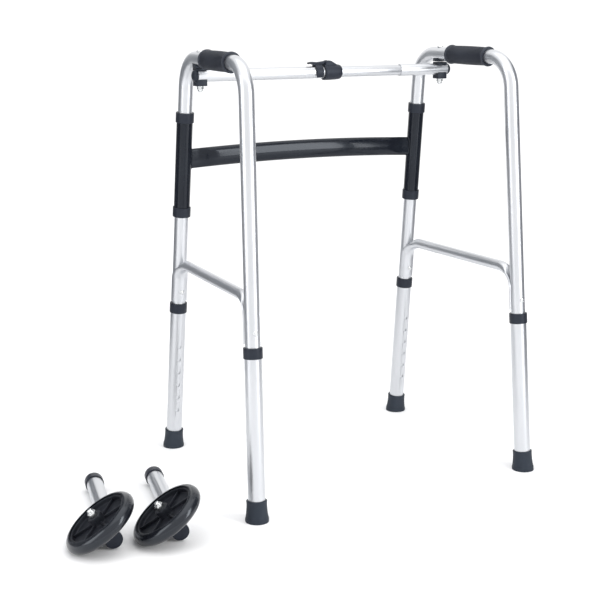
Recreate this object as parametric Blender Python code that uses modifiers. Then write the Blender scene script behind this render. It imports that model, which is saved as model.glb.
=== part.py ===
"""A folding walking frame, with its two front wheel units taken off and lying beside it.

Metres, +Z up.  X runs from the user's left side frame to the right one, +Y points to the front,
where the crossbar is, and the floor is at z = 0.
"""
import math

import bmesh
import bpy
from mathutils import Matrix, Vector

# ---------------------------------------------------------------- driving dimensions
FRAME_HALF_WIDTH = 0.2589    # a side frame's distance from the middle, at the floor and at y = 0
LEAN_IN = 0.0168             # how far a side frame leans inwards for each metre of height
TOE_IN = 0.0477              # how far it closes up for each metre towards the front
FRONT_FOOT_Y = 0.2066
REAR_FOOT_Y = -0.2069
FRONT_SPLAY = 0.1119         # a front leg's run towards the rear for each metre of height
REAR_SPLAY = 0.0829          # a rear leg's run towards the front for each metre of height
TOP_HEIGHT = 0.737           # centre line of the handle stretch
BEND_RADIUS = 0.055

GAP = 0.0003                 # running gap between touching pieces
TUBE_R = 0.0127              # upper tube, 25.4 mm
TUBE_WALL = 0.0015
LOWER_R = 0.0143             # lower leg tube, 28.6 mm, slides over the upper one
UPPER_END_Z = 0.045          # where the upper tube stops inside the lower one
LOWER_BOTTOM = 0.0105        # lower tube's ends, measured along the leg
LOWER_TOP_Z = 0.282
BUTTON_Z = 0.079
HOLE_PITCH = 0.0254
HOLE_COUNT = 6
HOLE_R = 0.0036
COLLAR_R = 0.0160
COLLAR_Z = (0.2705, 0.2885)

FOOT_TOP = 0.0355
FOOT_BORE_END = 0.0100

SLEEVE_R = 0.0145
SLEEVE_Z = (0.457, 0.6365)
SLEEVE_COLLAR_R = 0.0163
LOWER_SLEEVE_COLLAR_Z = (0.4525, 0.4700)
UPPER_SLEEVE_COLLAR_Z = (0.6235, 0.6410)
SLIT_Z = (0.479, 0.500)
BAR_Z = 0.5565               # crossbar's height at the sleeves
BAR_ARCH = 0.0068
BAR_HALF_HEIGHT = 0.0176
BAR_HALF_DEPTH = 0.0105
BAR_PINCHED_DEPTH = 0.0042
BAR_WALL = 0.0018

BRACE_R = 0.0094
BRACE_Z = 0.366
BRACE_BEND = 0.034
BRACE_PRESS = math.radians(68.0)   # the bend's angle over which the tube is pressed flat
BRACE_END_Z = 0.2945
BRACE_OFFSET = 0.0150        # from the leg's axis to the pressed end's middle
RIVET_Z = 0.3125
RIVET_R = 0.0024

GRIP_ENDS = (0.0255, -0.0865)
GRIP_R = 0.0157
GRIP_FLANGE_R = 0.0176

TOPBAR_Y = 0.060
TOPBAR_Z = 0.709
TOPBAR_LEFT_R = 0.0108
TOPBAR_BORE_R = 0.00985
TOPBAR_INNER_R = 0.00955
TOPBAR_RIGHT_R = 0.0105
TOPBAR_LEFT_X = (-0.2500, 0.0080)
TOPBAR_INNER_X = (-0.1150, 0.1720)
TOPBAR_RIGHT_X = (0.1540, 0.2555)
PIVOT_R = 0.0030
SPLIT_Z = 0.7222             # the flat between the two halves of a pivot saddle
SADDLE_HALF = 0.0100
SWIVEL_ROOM = 0.0014         # lets the left saddle swivel a few degrees on the bar

CLIP_X = (-0.0052, 0.0296)
CLIP_R = 0.0142
LEVER_BAND_X = (-0.0265, -0.0095)
LEVER_PIN = (0.0030, 0.0168)  # the lever's hinge line: x, and height over the bar's axis

WHEEL_R = 0.0632
TYRE_HALF_WIDTH = 0.0115
RIM_R = 0.0520
AXLE_FROM_END = 0.0136       # axle's distance from the stem's plugged end
WHEEL_OFFSET = 0.0317        # stem's axis to the wheel's middle plane
HUB_HALF = 0.0155
STEM_LENGTH = 0.2693
AXLE_R = 0.0040
PLUG_R = 0.0146
WHEEL_UNITS = ((-0.5177, -0.2119), (-0.4136, -0.2300))   # plugged ends on the floor
STEM_TURN = math.radians(12.1)                            # stems' heading, from +Y towards +X
AXLE_HEIGHT = 0.0168         # a lying stem's axis over the floor, at its axle

SIDES = ("left", "right")
LEFT, RIGHT = -1, 1
ROUND = 20                   # flats around a leg tube
SMALL_ROUND = 12
WHEEL_ROUND = 28

# ---------------------------------------------------------------- scene and materials
for old in list(bpy.data.objects):
    bpy.data.objects.remove(old, do_unlink=True)

COLLECTION = bpy.data.collections.new("walking_frame")
bpy.context.scene.collection.children.link(COLLECTION)


def finish(name, colour, roughness, metallic):
    """A Principled material in one finish."""
    material = bpy.data.materials.new(name)
    material.use_nodes = True
    shader = material.node_tree.nodes["Principled BSDF"]
    shader.inputs["Base Color"].default_value = (*colour, 1.0)
    shader.inputs["Roughness"].default_value = roughness
    shader.inputs["Metallic"].default_value = metallic
    return material


SATIN_ALUMINIUM = finish("satin_aluminium", (0.72, 0.73, 0.75), 0.38, 1.0)
BLACK_ENAMEL = finish("black_enamel", (0.012, 0.012, 0.016), 0.16, 0.0)
BLACK_PLASTIC = finish("black_plastic", (0.022, 0.024, 0.030), 0.42, 0.0)
GRIP_FOAM = finish("grip_vinyl", (0.026, 0.028, 0.036), 0.50, 0.0)
SLATE_RUBBER = finish("slate_rubber", (0.030, 0.034, 0.042), 0.62, 0.0)
ZINC = finish("bright_zinc", (0.66, 0.68, 0.70), 0.24, 1.0)
WHEEL_PLASTIC = finish("wheel_plastic", (0.014, 0.014, 0.016), 0.36, 0.0)
TYRE_VINYL = finish("tyre_vinyl", (0.012, 0.012, 0.015), 0.20, 0.0)


# ---------------------------------------------------------------- tools
def add(name, mesh, material, place=None):
    """Link one mesh as a named part."""
    part = bpy.data.objects.new(name, mesh)
    COLLECTION.objects.link(part)
    mesh.materials.clear()
    mesh.materials.append(material)
    if place is not None:
        part.matrix_world = place
    return part


def baked(part):
    """Turn a part's live modifiers into its own mesh."""
    bpy.context.view_layer.update()
    graph = bpy.context.evaluated_depsgraph_get()
    mesh = bpy.data.meshes.new_from_object(part.evaluated_get(graph))
    mesh.name = part.name
    part.modifiers.clear()
    part.data = mesh
    return part


def welded(part, distance=0.00002):
    """Join doubled points, drop what has no area and turn the faces outwards."""
    work = bmesh.new()
    work.from_mesh(part.data)
    bmesh.ops.remove_doubles(work, verts=work.verts, dist=distance)
    bmesh.ops.dissolve_degenerate(work, edges=work.edges, dist=distance)
    bmesh.ops.recalc_face_normals(work, faces=work.faces)
    work.to_mesh(part.data)
    work.free()
    return part


def turned(name, profile, material, place=None, sides=ROUND):
    """A turned piece: (radius, height) points run down the outer side, then up the bore or the axis."""
    mesh = bpy.data.meshes.new(name)
    points = [(radius, 0.0, height) for radius, height in profile]
    pairs = [(i, (i + 1) % len(points)) for i in range(len(points))]
    edges = [(i, j) for i, j in pairs if points[i][0] > 0.0 or points[j][0] > 0.0]
    mesh.from_pydata(points, edges, [])
    part = add(name, mesh, material, place)
    screw = part.modifiers.new("turn", "SCREW")
    screw.steps = sides
    screw.render_steps = sides
    screw.use_merge_vertices = True
    screw.merge_threshold = 0.00001
    screw.use_smooth_shade = True
    return welded(baked(part))


def pipe(name, outer, inner, ends, material, place=None, sides=ROUND):
    """A straight open tube along local Z."""
    low, high = ends
    profile = [(outer, high), (outer, low), (inner, low), (inner, high)]
    return turned(name, profile, material, place, sides)


def cylinder(radius, depth, place, sides=SMALL_ROUND):
    """A bare cylinder for cutting and joining, centred on its place."""
    mesh = bpy.data.meshes.new("tool")
    work = bmesh.new()
    bmesh.ops.create_cone(work, cap_ends=True, segments=sides, radius1=radius, radius2=radius,
                          depth=depth)
    work.to_mesh(mesh)
    work.free()
    return add("tool", mesh, BLACK_PLASTIC, place)


def block(size, place):
    """A bare box for cutting and joining, centred on its place."""
    mesh = bpy.data.meshes.new("tool")
    work = bmesh.new()
    bmesh.ops.create_cube(work, size=1.0)
    bmesh.ops.scale(work, vec=size, verts=work.verts)
    work.to_mesh(mesh)
    work.free()
    return add("tool", mesh, BLACK_PLASTIC, place)


def combine(part, tool, operation):
    """Cut, join or intersect a part with a tool, and drop the tool."""
    change = part.modifiers.new("boolean", "BOOLEAN")
    change.operation = operation
    change.solver = "EXACT"
    change.object = tool
    material = part.data.materials[0]
    baked(part)
    part.data.materials.clear()
    part.data.materials.append(material)
    for face in part.data.polygons:
        face.material_index = 0
    bpy.data.objects.remove(tool, do_unlink=True)
    return part


def cut(part, *tools):
    for tool in tools:
        combine(part, tool, "DIFFERENCE")
    return part


def join(part, *tools):
    for tool in tools:
        combine(part, tool, "UNION")
    return part


def slab(name, outline, thickness, place, material):
    """A flat outline in local XY, extruded to both sides of its plane."""
    curve = bpy.data.curves.new(name, "CURVE")
    curve.dimensions = "2D"
    curve.fill_mode = "BOTH"
    curve.extrude = thickness / 2
    spline = curve.splines.new("POLY")
    spline.points.add(len(outline) - 1)
    for point, (x, y) in zip(spline.points, outline):
        point.co = (x, y, 0.0, 1.0)
    spline.use_cyclic_u = True
    guide = bpy.data.objects.new(name, curve)
    COLLECTION.objects.link(guide)
    bpy.context.view_layer.update()
    graph = bpy.context.evaluated_depsgraph_get()
    mesh = bpy.data.meshes.new_from_object(guide.evaluated_get(graph))
    bpy.data.objects.remove(guide, do_unlink=True)
    return welded(add(name, mesh, material, place))


def loft(name, sections, material):
    """Skin a closed body over rings of points that all have the same count."""
    work = bmesh.new()
    rings = [[work.verts.new(point) for point in section] for section in sections]
    count = len(rings[0])
    for low, high in zip(rings, rings[1:]):
        for i in range(count):
            j = (i + 1) % count
            work.faces.new((low[i], low[j], high[j], high[i]))
    work.faces.new(rings[0])
    work.faces.new(rings[-1])
    bmesh.ops.recalc_face_normals(work, faces=work.faces)
    mesh = bpy.data.meshes.new(name)
    work.to_mesh(mesh)
    work.free()
    return add(name, mesh, material)


def aim(origin, direction, towards=(0.0, 1.0, 0.0)):
    """A place whose local Z is the direction and whose local Y leans towards the given way."""
    z = Vector(direction).normalized()
    x = Vector(towards).cross(z).normalized()
    y = z.cross(x)
    place = Matrix((x, y, z)).transposed().to_4x4()
    place.translation = Vector(origin)
    return place


def shaded(part, angle=35.0):
    """Smooth shading that keeps the hard edges."""
    part.data.shade_smooth()
    part.data.set_sharp_from_angle(angle=math.radians(angle))


# ---------------------------------------------------------------- the side frame's lines
def on_side(side, y, z):
    """A point of a side frame's middle plane."""
    return Vector((side * (FRAME_HALF_WIDTH - LEAN_IN * z - TOE_IN * y), y, z))


def on_leg(side, end, z):
    """A point of a leg's axis; end is 'front' or 'rear'."""
    y = FRONT_FOOT_Y - FRONT_SPLAY * z if end == "front" else REAR_FOOT_Y + REAR_SPLAY * z
    return on_side(side, y, z)


def leg_up(side, end):
    return (on_leg(side, end, 1.0) - on_leg(side, end, 0.0)).normalized()


def leg_place(side, end):
    """Local Z runs up the leg from the floor, and local Y points to the other leg's side."""
    inwards = handle_direction(side) * (-1 if end == "front" else 1)
    return aim(on_leg(side, end, 0.0), leg_up(side, end), inwards)


def along_leg(side, end, z):
    """Distance along the leg's axis from the floor to a height."""
    return (on_leg(side, end, z) - on_leg(side, end, 0.0)).length


def handle_direction(side):
    return (on_side(side, 1.0, 0.0) - on_side(side, 0.0, 0.0)).normalized()


def rounded(corners, radius, steps):
    """A polyline with its inner corners replaced by arcs."""
    path = [corners[0]]
    for before, corner, after in zip(corners, corners[1:], corners[2:]):
        back = (before - corner).normalized()
        ahead = (after - corner).normalized()
        half = back.angle(ahead) / 2
        reach = radius / math.tan(half)
        centre = corner + (back + ahead).normalized() * radius / math.sin(half)
        start = corner + back * reach - centre
        turn = math.pi - 2 * half
        axis = start.cross(corner + ahead * reach - centre).normalized()
        for step in range(steps + 1):
            path.append(centre + Matrix.Rotation(turn * step / steps, 3, axis) @ start)
    path.append(corners[-1])
    return path


def rivet_place(side, end):
    """Local Z runs from the leg's outer face, through it, to the brace's pressed end."""
    inwards = leg_place(side, end).col[1].to_3d()
    return aim(on_leg(side, end, RIVET_Z), inwards, (0.0, 0.0, 1.0))


# ---------------------------------------------------------------- side frames
def side_tube(side):
    """One bent tube: front leg, handle stretch and rear leg."""
    name = f"{SIDES[side > 0]}_side_tube"
    corners = [on_leg(side, "front", UPPER_END_Z),
               on_leg(side, "front", TOP_HEIGHT),
               on_leg(side, "rear", TOP_HEIGHT),
               on_leg(side, "rear", UPPER_END_Z)]
    path = rounded(corners, BEND_RADIUS, 7)
    curve = bpy.data.curves.new(name, "CURVE")
    curve.dimensions = "3D"
    curve.bevel_depth = TUBE_R
    curve.bevel_resolution = 3
    spline = curve.splines.new("POLY")
    spline.points.add(len(path) - 1)
    for point, place in zip(spline.points, path):
        point.co = (*place, 1.0)
    guide = bpy.data.objects.new(name, curve)
    COLLECTION.objects.link(guide)
    bpy.context.view_layer.update()
    graph = bpy.context.evaluated_depsgraph_get()
    mesh = bpy.data.meshes.new_from_object(guide.evaluated_get(graph))
    bpy.data.objects.remove(guide, do_unlink=True)
    tube = welded(add(name, mesh, SATIN_ALUMINIUM))
    wall = tube.modifiers.new("wall", "SOLIDIFY")
    wall.thickness = TUBE_WALL
    wall.offset = -1.0
    wall.use_even_offset = True
    baked(tube)
    for end in ("front", "rear"):
        cut(tube, cylinder(RIVET_R + GAP, 0.04, rivet_place(side, end)))
        place = leg_place(side, end)
        height = along_leg(side, end, BUTTON_Z)
        hole = place @ Matrix.Translation((0.0, 0.012, height)) @ Matrix.Rotation(math.pi / 2, 4, "X")
        cut(tube, cylinder(HOLE_R, 0.010, hole))
    cut(tube, cylinder(PIVOT_R + GAP, 0.04, Matrix.Translation(on_side(side, TOPBAR_Y, TOP_HEIGHT))))
    return tube


def brace_section(centre, away, across, amount):
    """One ring of the brace: round at 0, pressed to a half pipe around the leg at 1."""
    half = 9
    reach = math.radians(84.0)
    inner = TUBE_R + GAP
    outer = inner + 0.0024
    ring = []
    for i in range(2 * half):
        angle = math.pi * (2 * i + 1 - half) / (2 * half)
        round_point = Vector((BRACE_R * math.cos(angle), BRACE_R * math.sin(angle)))
        if i < half:
            sweep = reach * (2 * i + 1 - half) / (half - 1)
            pressed = Vector((outer * math.cos(sweep), outer * math.sin(sweep)))
        else:
            sweep = reach * (3 * half - 1 - 2 * i) / (half - 1)
            pressed = Vector((inner * math.cos(sweep), inner * math.sin(sweep)))
        pressed.x -= BRACE_OFFSET
        point = round_point.lerp(pressed, amount)
        ring.append(centre + away * point.x + across * point.y)
    return ring


def brace_half(side, end):
    """Rings from a pressed end, up the leg and round the bend to the straight stretch."""
    up = leg_up(side, end)
    away = leg_place(side, end).col[1].to_3d()
    across = up.cross(away)
    level = handle_direction(side) * (-1 if end == "front" else 1)
    turn = up.angle(level)
    climb = up * BRACE_BEND * math.sin(turn) + away * (BRACE_OFFSET + BRACE_BEND * (1 - math.cos(turn)))
    low = on_leg(side, end, BRACE_END_Z) + away * BRACE_OFFSET
    corner = on_leg(side, end, BRACE_Z - climb.z) + away * BRACE_OFFSET
    rings = [brace_section(low.lerp(corner, step / 2), away, across, 1.0) for step in range(3)]
    hub = corner + away * BRACE_BEND
    steps = 6
    for step in range(1, steps + 1):
        angle = turn * step / steps
        inwards = away * math.cos(angle) - up * math.sin(angle)
        blend = max(0.0, 1.0 - angle / BRACE_PRESS)
        amount = blend * blend * (3 - 2 * blend)
        rings.append(brace_section(hub - inwards * BRACE_BEND, inwards, across, amount))
    return rings


def side_brace(side):
    name = f"{SIDES[side > 0]}_brace"
    front = brace_half(side, "front")
    rear = brace_half(side, "rear")
    flipped = [[ring[(len(ring) * 3 // 2 - 1 - i) % len(ring)] for i in range(len(ring))]
               for ring in reversed(rear)]
    brace = loft(name, front + flipped, SATIN_ALUMINIUM)
    for end in ("front", "rear"):
        cut(brace, cylinder(RIVET_R + GAP, 0.04, rivet_place(side, end)))
    return brace


def brace_rivet(side, end):
    """A through rivet with a low domed head at each end."""
    name = f"{SIDES[side > 0]}_{end}_rivet"
    head = 0.0044
    near = -(TUBE_R + 0.0001)
    far = TUBE_R + GAP + 0.0024 + 0.0001
    profile = [(0.0, far + 0.0019), (head * 0.6, far + 0.0015), (head, far + 0.0004), (head, far),
               (RIVET_R, far), (RIVET_R, near), (head, near), (head, near - 0.0004),
               (head * 0.6, near - 0.0015), (0.0, near - 0.0019)]
    return turned(name, profile, ZINC, rivet_place(side, end), SMALL_ROUND)


def grip(side):
    """A moulded hand grip: a slightly barrelled sleeve with a raised ring at each end."""
    name = f"{SIDES[side > 0]}_grip"
    front, rear = GRIP_ENDS
    middle = on_side(side, (front + rear) / 2, TOP_HEIGHT)
    half = (front - rear) / 2
    bore = TUBE_R + GAP
    profile = [(bore, half), (GRIP_FLANGE_R - 0.0010, half), (GRIP_FLANGE_R, half - 0.0009),
               (GRIP_FLANGE_R, half - 0.0030), (GRIP_R, half - 0.0046)]
    for step in range(1, 4):
        share = step / 4
        swell = 0.0009 * math.sin(math.pi * share)
        profile.append((GRIP_R + swell, (half - 0.0046) * (1 - 2 * share)))
    profile += [(GRIP_R, -half + 0.0046), (GRIP_FLANGE_R, -half + 0.0030),
                (GRIP_FLANGE_R, -half + 0.0009), (GRIP_FLANGE_R - 0.0010, -half), (bore, -half)]
    return turned(name, profile, GRIP_FOAM, aim(middle, handle_direction(side), (1.0, 0.0, 0.0)))


# ---------------------------------------------------------------- legs
def lower_tube(side, end):
    name = f"{SIDES[side > 0]}_{end}_leg_tube"
    place = leg_place(side, end)
    top = along_leg(side, end, LOWER_TOP_Z)
    tube = pipe(name, LOWER_R, TUBE_R + GAP, (LOWER_BOTTOM, top), SATIN_ALUMINIUM, place)
    first = along_leg(side, end, BUTTON_Z)
    for index in range(HOLE_COUNT):
        height = first + index * HOLE_PITCH
        hole = place @ Matrix.Translation((0.0, 0.013, height)) @ Matrix.Rotation(math.pi / 2, 4, "X")
        cut(tube, cylinder(HOLE_R, 0.010, hole, 12))
    return tube


def collar(name, radius, ends, step, tube_radius, place, lip_up=True):
    """A plastic collar over a tube's end, with a lip that closes on the inner tube."""
    low, high = ends
    soft = 0.0008
    bore = TUBE_R + GAP
    wide = tube_radius + GAP
    if lip_up:
        profile = [(bore, high), (radius - soft, high), (radius, high - soft), (radius, low + soft),
                   (radius - soft, low), (wide, low), (wide, step), (bore, step)]
    else:
        profile = [(wide, high), (radius - soft, high), (radius, high - soft), (radius, low + soft),
                   (radius - soft, low), (bore, low), (bore, step), (wide, step)]
    return turned(name, profile, BLACK_PLASTIC, place)


def leg_collar(side, end):
    name = f"{SIDES[side > 0]}_{end}_leg_collar"
    ends = [along_leg(side, end, z) for z in COLLAR_Z]
    step = along_leg(side, end, LOWER_TOP_Z) + GAP
    return collar(name, COLLAR_R, ends, step, LOWER_R, leg_place(side, end))


def foot(side, end):
    """A flared rubber foot, its sole cut level with the floor."""
    name = f"{SIDES[side > 0]}_{end}_foot"
    bore = LOWER_R + GAP
    profile = [(bore, FOOT_TOP), (0.0166, FOOT_TOP), (0.0172, FOOT_TOP - 0.0008),
               (0.0173, 0.0260), (0.0183, 0.0110), (0.0193, 0.0060), (0.0196, 0.0030),
               (0.0194, -0.0060), (0.0, -0.0060), (0.0, FOOT_BORE_END), (bore, FOOT_BORE_END)]
    part = turned(name, profile, SLATE_RUBBER, leg_place(side, end))
    work = bmesh.new()
    work.from_mesh(part.data)
    floor = part.matrix_world.inverted()
    level = (floor.to_3x3() @ Vector((0.0, 0.0, 1.0))).normalized()
    everything = list(work.verts) + list(work.edges) + list(work.faces)
    sliced = bmesh.ops.bisect_plane(work, geom=everything, plane_co=floor.translation,
                                    plane_no=level, clear_inner=True)
    rim = [item for item in sliced["geom_cut"] if isinstance(item, bmesh.types.BMEdge)]
    bmesh.ops.contextual_create(work, geom=rim)
    bmesh.ops.recalc_face_normals(work, faces=work.faces)
    work.to_mesh(part.data)
    work.free()
    return part


def snap_button(side, end):
    """A sprung button: a domed pin on a short leaf that lies along the inside of the upper tube."""
    name = f"{SIDES[side > 0]}_{end}_snap_button"
    place = leg_place(side, end)
    height = along_leg(side, end, BUTTON_Z)
    inner = TUBE_R - TUBE_WALL
    dome = TUBE_R - 0.0001
    face = place @ Matrix.Translation((0.0, 0.0, height)) @ Matrix.Rotation(-math.pi / 2, 4, "X")
    profile = [(0.0, dome), (0.0016, dome - 0.0002), (0.0028, dome - 0.0009), (0.0032, dome - 0.0018),
               (0.0032, inner - 0.0030), (0.0, inner - 0.0030)]
    button = turned(name, profile, ZINC, face, SMALL_ROUND)
    leaf = block((0.0075, 0.0006, 0.030), place @ Matrix.Translation((0.0, inner - 0.0026, height + 0.009)))
    return join(button, leaf)


# ---------------------------------------------------------------- front crossbar
def oval_ring(centre, along, half_depth, half_height):
    """One upright oval ring of the crossbar, square to its run."""
    across = Vector((0.0, 0.0, 1.0)).cross(along).normalized()
    up = along.cross(across).normalized()
    ring = []
    for i in range(16):
        angle = 2 * math.pi * i / 16
        reach = abs(math.cos(angle)) ** 0.8 * half_depth * (1 if math.cos(angle) > 0 else -1)
        ring.append(centre + across * reach + up * half_height * math.sin(angle))
    return ring


def crossbar_rings(shrink, inset):
    """Rings of the arched bar; its ends are pinched flat, and the middle stays an oval tube."""
    left = on_leg(LEFT, "front", BAR_Z)
    right = on_leg(RIGHT, "front", BAR_Z)
    span = (right - left).length - 2 * inset
    flat = 0.024
    swell = 0.030
    shares = [0.0, flat, flat + swell * 0.35, flat + swell * 0.7, flat + swell, 0.14]
    stations = [min(value, span / 2) for value in shares] + [span / 2]
    stations += [span - value for value in reversed(stations[:-1])]
    rings = []
    for station in stations:
        share = (station + inset) / (span + 2 * inset)
        centre = left.lerp(right, share)
        centre.z += BAR_ARCH * 4 * share * (1 - share)
        slope = BAR_ARCH * 4 * (1 - 2 * share) / (span + 2 * inset)
        near_end = min(station, span - station)
        blend = min(1.0, max(0.0, (near_end - flat) / swell))
        depth = BAR_PINCHED_DEPTH + (BAR_HALF_DEPTH - BAR_PINCHED_DEPTH) * blend * blend * (3 - 2 * blend)
        rings.append(oval_ring(centre, Vector((1.0, 0.0, slope)), depth - shrink, BAR_HALF_HEIGHT - shrink))
    return rings


def front_crossbar():
    """The welded front: two upright sleeves and an arched bar pinched flat where it meets them."""
    bar = loft("front_crossbar", crossbar_rings(0.0, 0.006), BLACK_ENAMEL)
    for side in (LEFT, RIGHT):
        place = leg_place(side, "front")
        low, high = (along_leg(side, "front", z) for z in SLEEVE_Z)
        middle = place @ Matrix.Translation((0.0, 0.0, (low + high) / 2))
        join(bar, cylinder(SLEEVE_R, high - low, middle, ROUND))
        cut(bar, cylinder(TUBE_R + GAP, high - low + 0.02, middle, ROUND))
    cut(bar, loft("tool", crossbar_rings(BAR_WALL, 0.020), BLACK_ENAMEL))
    for side in (LEFT, RIGHT):
        vent = on_leg(side, "front", BAR_Z) + Vector((-side * 0.090, 0.0, -BAR_HALF_HEIGHT))
        cut(bar, cylinder(0.0022, 0.016, Matrix.Translation(vent)))
        # two small slits on the outer face of the sleeve
        outwards = leg_place(side, "front").inverted().to_3x3() @ Vector((side * 0.75, 0.25, 0.0))
        turn = Matrix.Rotation(math.atan2(outwards.y, outwards.x), 4, "Z")
        for height in SLIT_Z:
            lift = Matrix.Translation((0.0, 0.0, along_leg(side, "front", height)))
            reach = Matrix.Translation((SLEEVE_R, 0.0, 0.0))
            cut(bar, block((0.0060, 0.0062, 0.0022), leg_place(side, "front") @ lift @ turn @ reach))
    return bar


def sleeve_collar(side, level):
    name = f"{SIDES[side > 0]}_{level}_sleeve_collar"
    place = leg_place(side, "front")
    sleeve_low, sleeve_high = (along_leg(side, "front", z) for z in SLEEVE_Z)
    if level == "upper":
        ends = [along_leg(side, "front", z) for z in UPPER_SLEEVE_COLLAR_Z]
        return collar(name, SLEEVE_COLLAR_R, ends, sleeve_high + GAP, SLEEVE_R, place)
    ends = [along_leg(side, "front", z) for z in LOWER_SLEEVE_COLLAR_Z]
    return collar(name, SLEEVE_COLLAR_R, ends, sleeve_low - GAP, SLEEVE_R, place, lip_up=False)


# ---------------------------------------------------------------- top bar
ALONG_BAR = Vector((1.0, 0.0, 0.0))


def bar_place(x=0.0):
    """Local Z runs along the top bar, and local Y points up."""
    return aim((x, TOPBAR_Y, TOPBAR_Z), ALONG_BAR, (0.0, 0.0, 1.0))


def pivot_x(side):
    return on_side(side, TOPBAR_Y, TOP_HEIGHT).x


def split_plane(side, lift):
    """The flat between the saddle halves: square to the fold's axis on the left, level on the right."""
    normal = leg_up(side, "front") if side == LEFT else Vector((0.0, 0.0, 1.0))
    return aim((pivot_x(side), TOPBAR_Y, SPLIT_Z + lift), normal)


def frame_saddle(side):
    """The half saddle under the handle tube."""
    name = f"{SIDES[side > 0]}_frame_saddle"
    top = 0.7315
    middle = (pivot_x(side), TOPBAR_Y, (top + SPLIT_Z) / 2 - 0.002)
    size = (2 * SADDLE_HALF + 0.0006, 0.0170, top - SPLIT_Z + 0.004)
    part = block(size, Matrix.Translation(middle))
    part.name = name
    tube_line = aim(on_side(side, TOPBAR_Y, TOP_HEIGHT), handle_direction(side), (1.0, 0.0, 0.0))
    lift = 0.0004 if side == LEFT else 0.0010
    below = split_plane(side, lift) @ Matrix.Translation((0.0, 0.0, -0.02))
    cut(part, cylinder(TUBE_R + GAP, 0.06, tube_line, ROUND), block((0.06, 0.06, 0.04), below))
    cut(part, cylinder(PIVOT_R + GAP, 0.04, Matrix.Translation(middle)))
    return part


def bar_saddle(side):
    """The half saddle on top of the top bar; the left one has room to swivel on the bar."""
    name = f"{SIDES[side > 0]}_bar_saddle"
    low = 0.7122
    high = SPLIT_Z + 0.004
    middle = (pivot_x(side), TOPBAR_Y, (low + high) / 2)
    part = block((2 * SADDLE_HALF, 0.0170, high - low), Matrix.Translation(middle))
    part.name = name
    radius = TOPBAR_LEFT_R + SWIVEL_ROOM if side == LEFT else TOPBAR_RIGHT_R + GAP
    above = split_plane(side, -0.0002) @ Matrix.Translation((0.0, 0.0, 0.02))
    cut(part, cylinder(radius, 0.06, bar_place(pivot_x(side)), ROUND), block((0.06, 0.06, 0.04), above))
    cut(part, cylinder(PIVOT_R + 0.0005, 0.04, Matrix.Translation(middle)))
    return part


def pivot_bolt_head(side):
    """The upper length of the pivot bolt: a domed head on the handle tube and its shank."""
    name = f"{SIDES[side > 0]}_pivot_bolt"
    place = Matrix.Translation((pivot_x(side), TOPBAR_Y, 0.0))
    seat = TOP_HEIGHT + TUBE_R + 0.0001
    foot_z = SPLIT_Z + 0.0010
    profile = [(0.0, seat + 0.0030), (0.0030, seat + 0.0026), (0.0050, seat + 0.0016),
               (0.0058, seat + 0.0003), (0.0058, seat), (PIVOT_R, seat), (PIVOT_R, foot_z), (0.0, foot_z)]
    return turned(name, profile, ZINC, place, SMALL_ROUND)


def pivot_nut(side):
    """The lower length of the pivot bolt, with the cap nut under the bar."""
    name = f"{SIDES[side > 0]}_pivot_nut"
    place = Matrix.Translation((pivot_x(side), TOPBAR_Y, 0.0))
    top = SPLIT_Z - 0.0006
    seat = TOPBAR_Z - 0.0176
    profile = [(0.0, top), (PIVOT_R, top), (PIVOT_R, seat), (0.0058, seat), (0.0058, seat - 0.0052),
               (0.0044, seat - 0.0062), (0.0042, seat - 0.0082), (0.0026, seat - 0.0102),
               (0.0, seat - 0.0108)]
    return turned(name, profile, ZINC, place, 12)


def under_saddle(side):
    """The shaped washer that holds the top bar from below."""
    name = f"{SIDES[side > 0]}_under_saddle"
    low = TOPBAR_Z - 0.0175
    high = TOPBAR_Z - 0.0058
    middle = (pivot_x(side), TOPBAR_Y, (low + high) / 2)
    part = block((2 * SADDLE_HALF - 0.001, 0.0180, high - low), Matrix.Translation(middle))
    part.name = name
    radius = (TOPBAR_LEFT_R if side == LEFT else TOPBAR_RIGHT_R) + GAP
    cut(part, cylinder(radius, 0.06, bar_place(pivot_x(side)), ROUND))
    cut(part, cylinder(PIVOT_R + GAP, 0.04, Matrix.Translation(middle)))
    return part


def top_bar_tubes():
    """Three tubes that telescope as the side frames fold in."""
    left = pipe("top_bar_left_tube", TOPBAR_LEFT_R, TOPBAR_BORE_R, TOPBAR_LEFT_X,
                SATIN_ALUMINIUM, bar_place())
    inner = pipe("top_bar_middle_tube", TOPBAR_INNER_R, TOPBAR_INNER_R - 0.0012, TOPBAR_INNER_X,
                 SATIN_ALUMINIUM, bar_place())
    right = pipe("top_bar_right_tube", TOPBAR_RIGHT_R, TOPBAR_BORE_R, TOPBAR_RIGHT_X,
                 SATIN_ALUMINIUM, bar_place())
    for side, tube in ((LEFT, left), (RIGHT, right)):
        hole = Matrix.Translation((pivot_x(side), TOPBAR_Y, TOPBAR_Z))
        cut(tube, cylinder(PIVOT_R + GAP, 0.04, hole))
    return left, inner, right


def bar_plug(side):
    """A domed plug in the open end of the top bar."""
    name = f"{SIDES[side > 0]}_bar_plug"
    radius = TOPBAR_LEFT_R if side == LEFT else TOPBAR_RIGHT_R
    mouth = TOPBAR_LEFT_X[0] if side == LEFT else TOPBAR_RIGHT_X[1]
    outwards = ALONG_BAR * side
    base = 0.0002
    dome = 0.0085
    profile = [(0.0, base + dome)]
    for step in range(1, 5):
        angle = math.pi / 2 * step / 4
        profile.append((radius * math.sin(angle), base + 0.0015 + (dome - 0.0015) * math.cos(angle)))
    spigot = TOPBAR_BORE_R - GAP
    profile += [(radius, base), (spigot, base), (spigot, -0.0026), (0.0, -0.0026)]
    place = aim((mouth, TOPBAR_Y, TOPBAR_Z), outwards, (0.0, 0.0, 1.0))
    return turned(name, profile, BLACK_PLASTIC, place)


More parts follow.
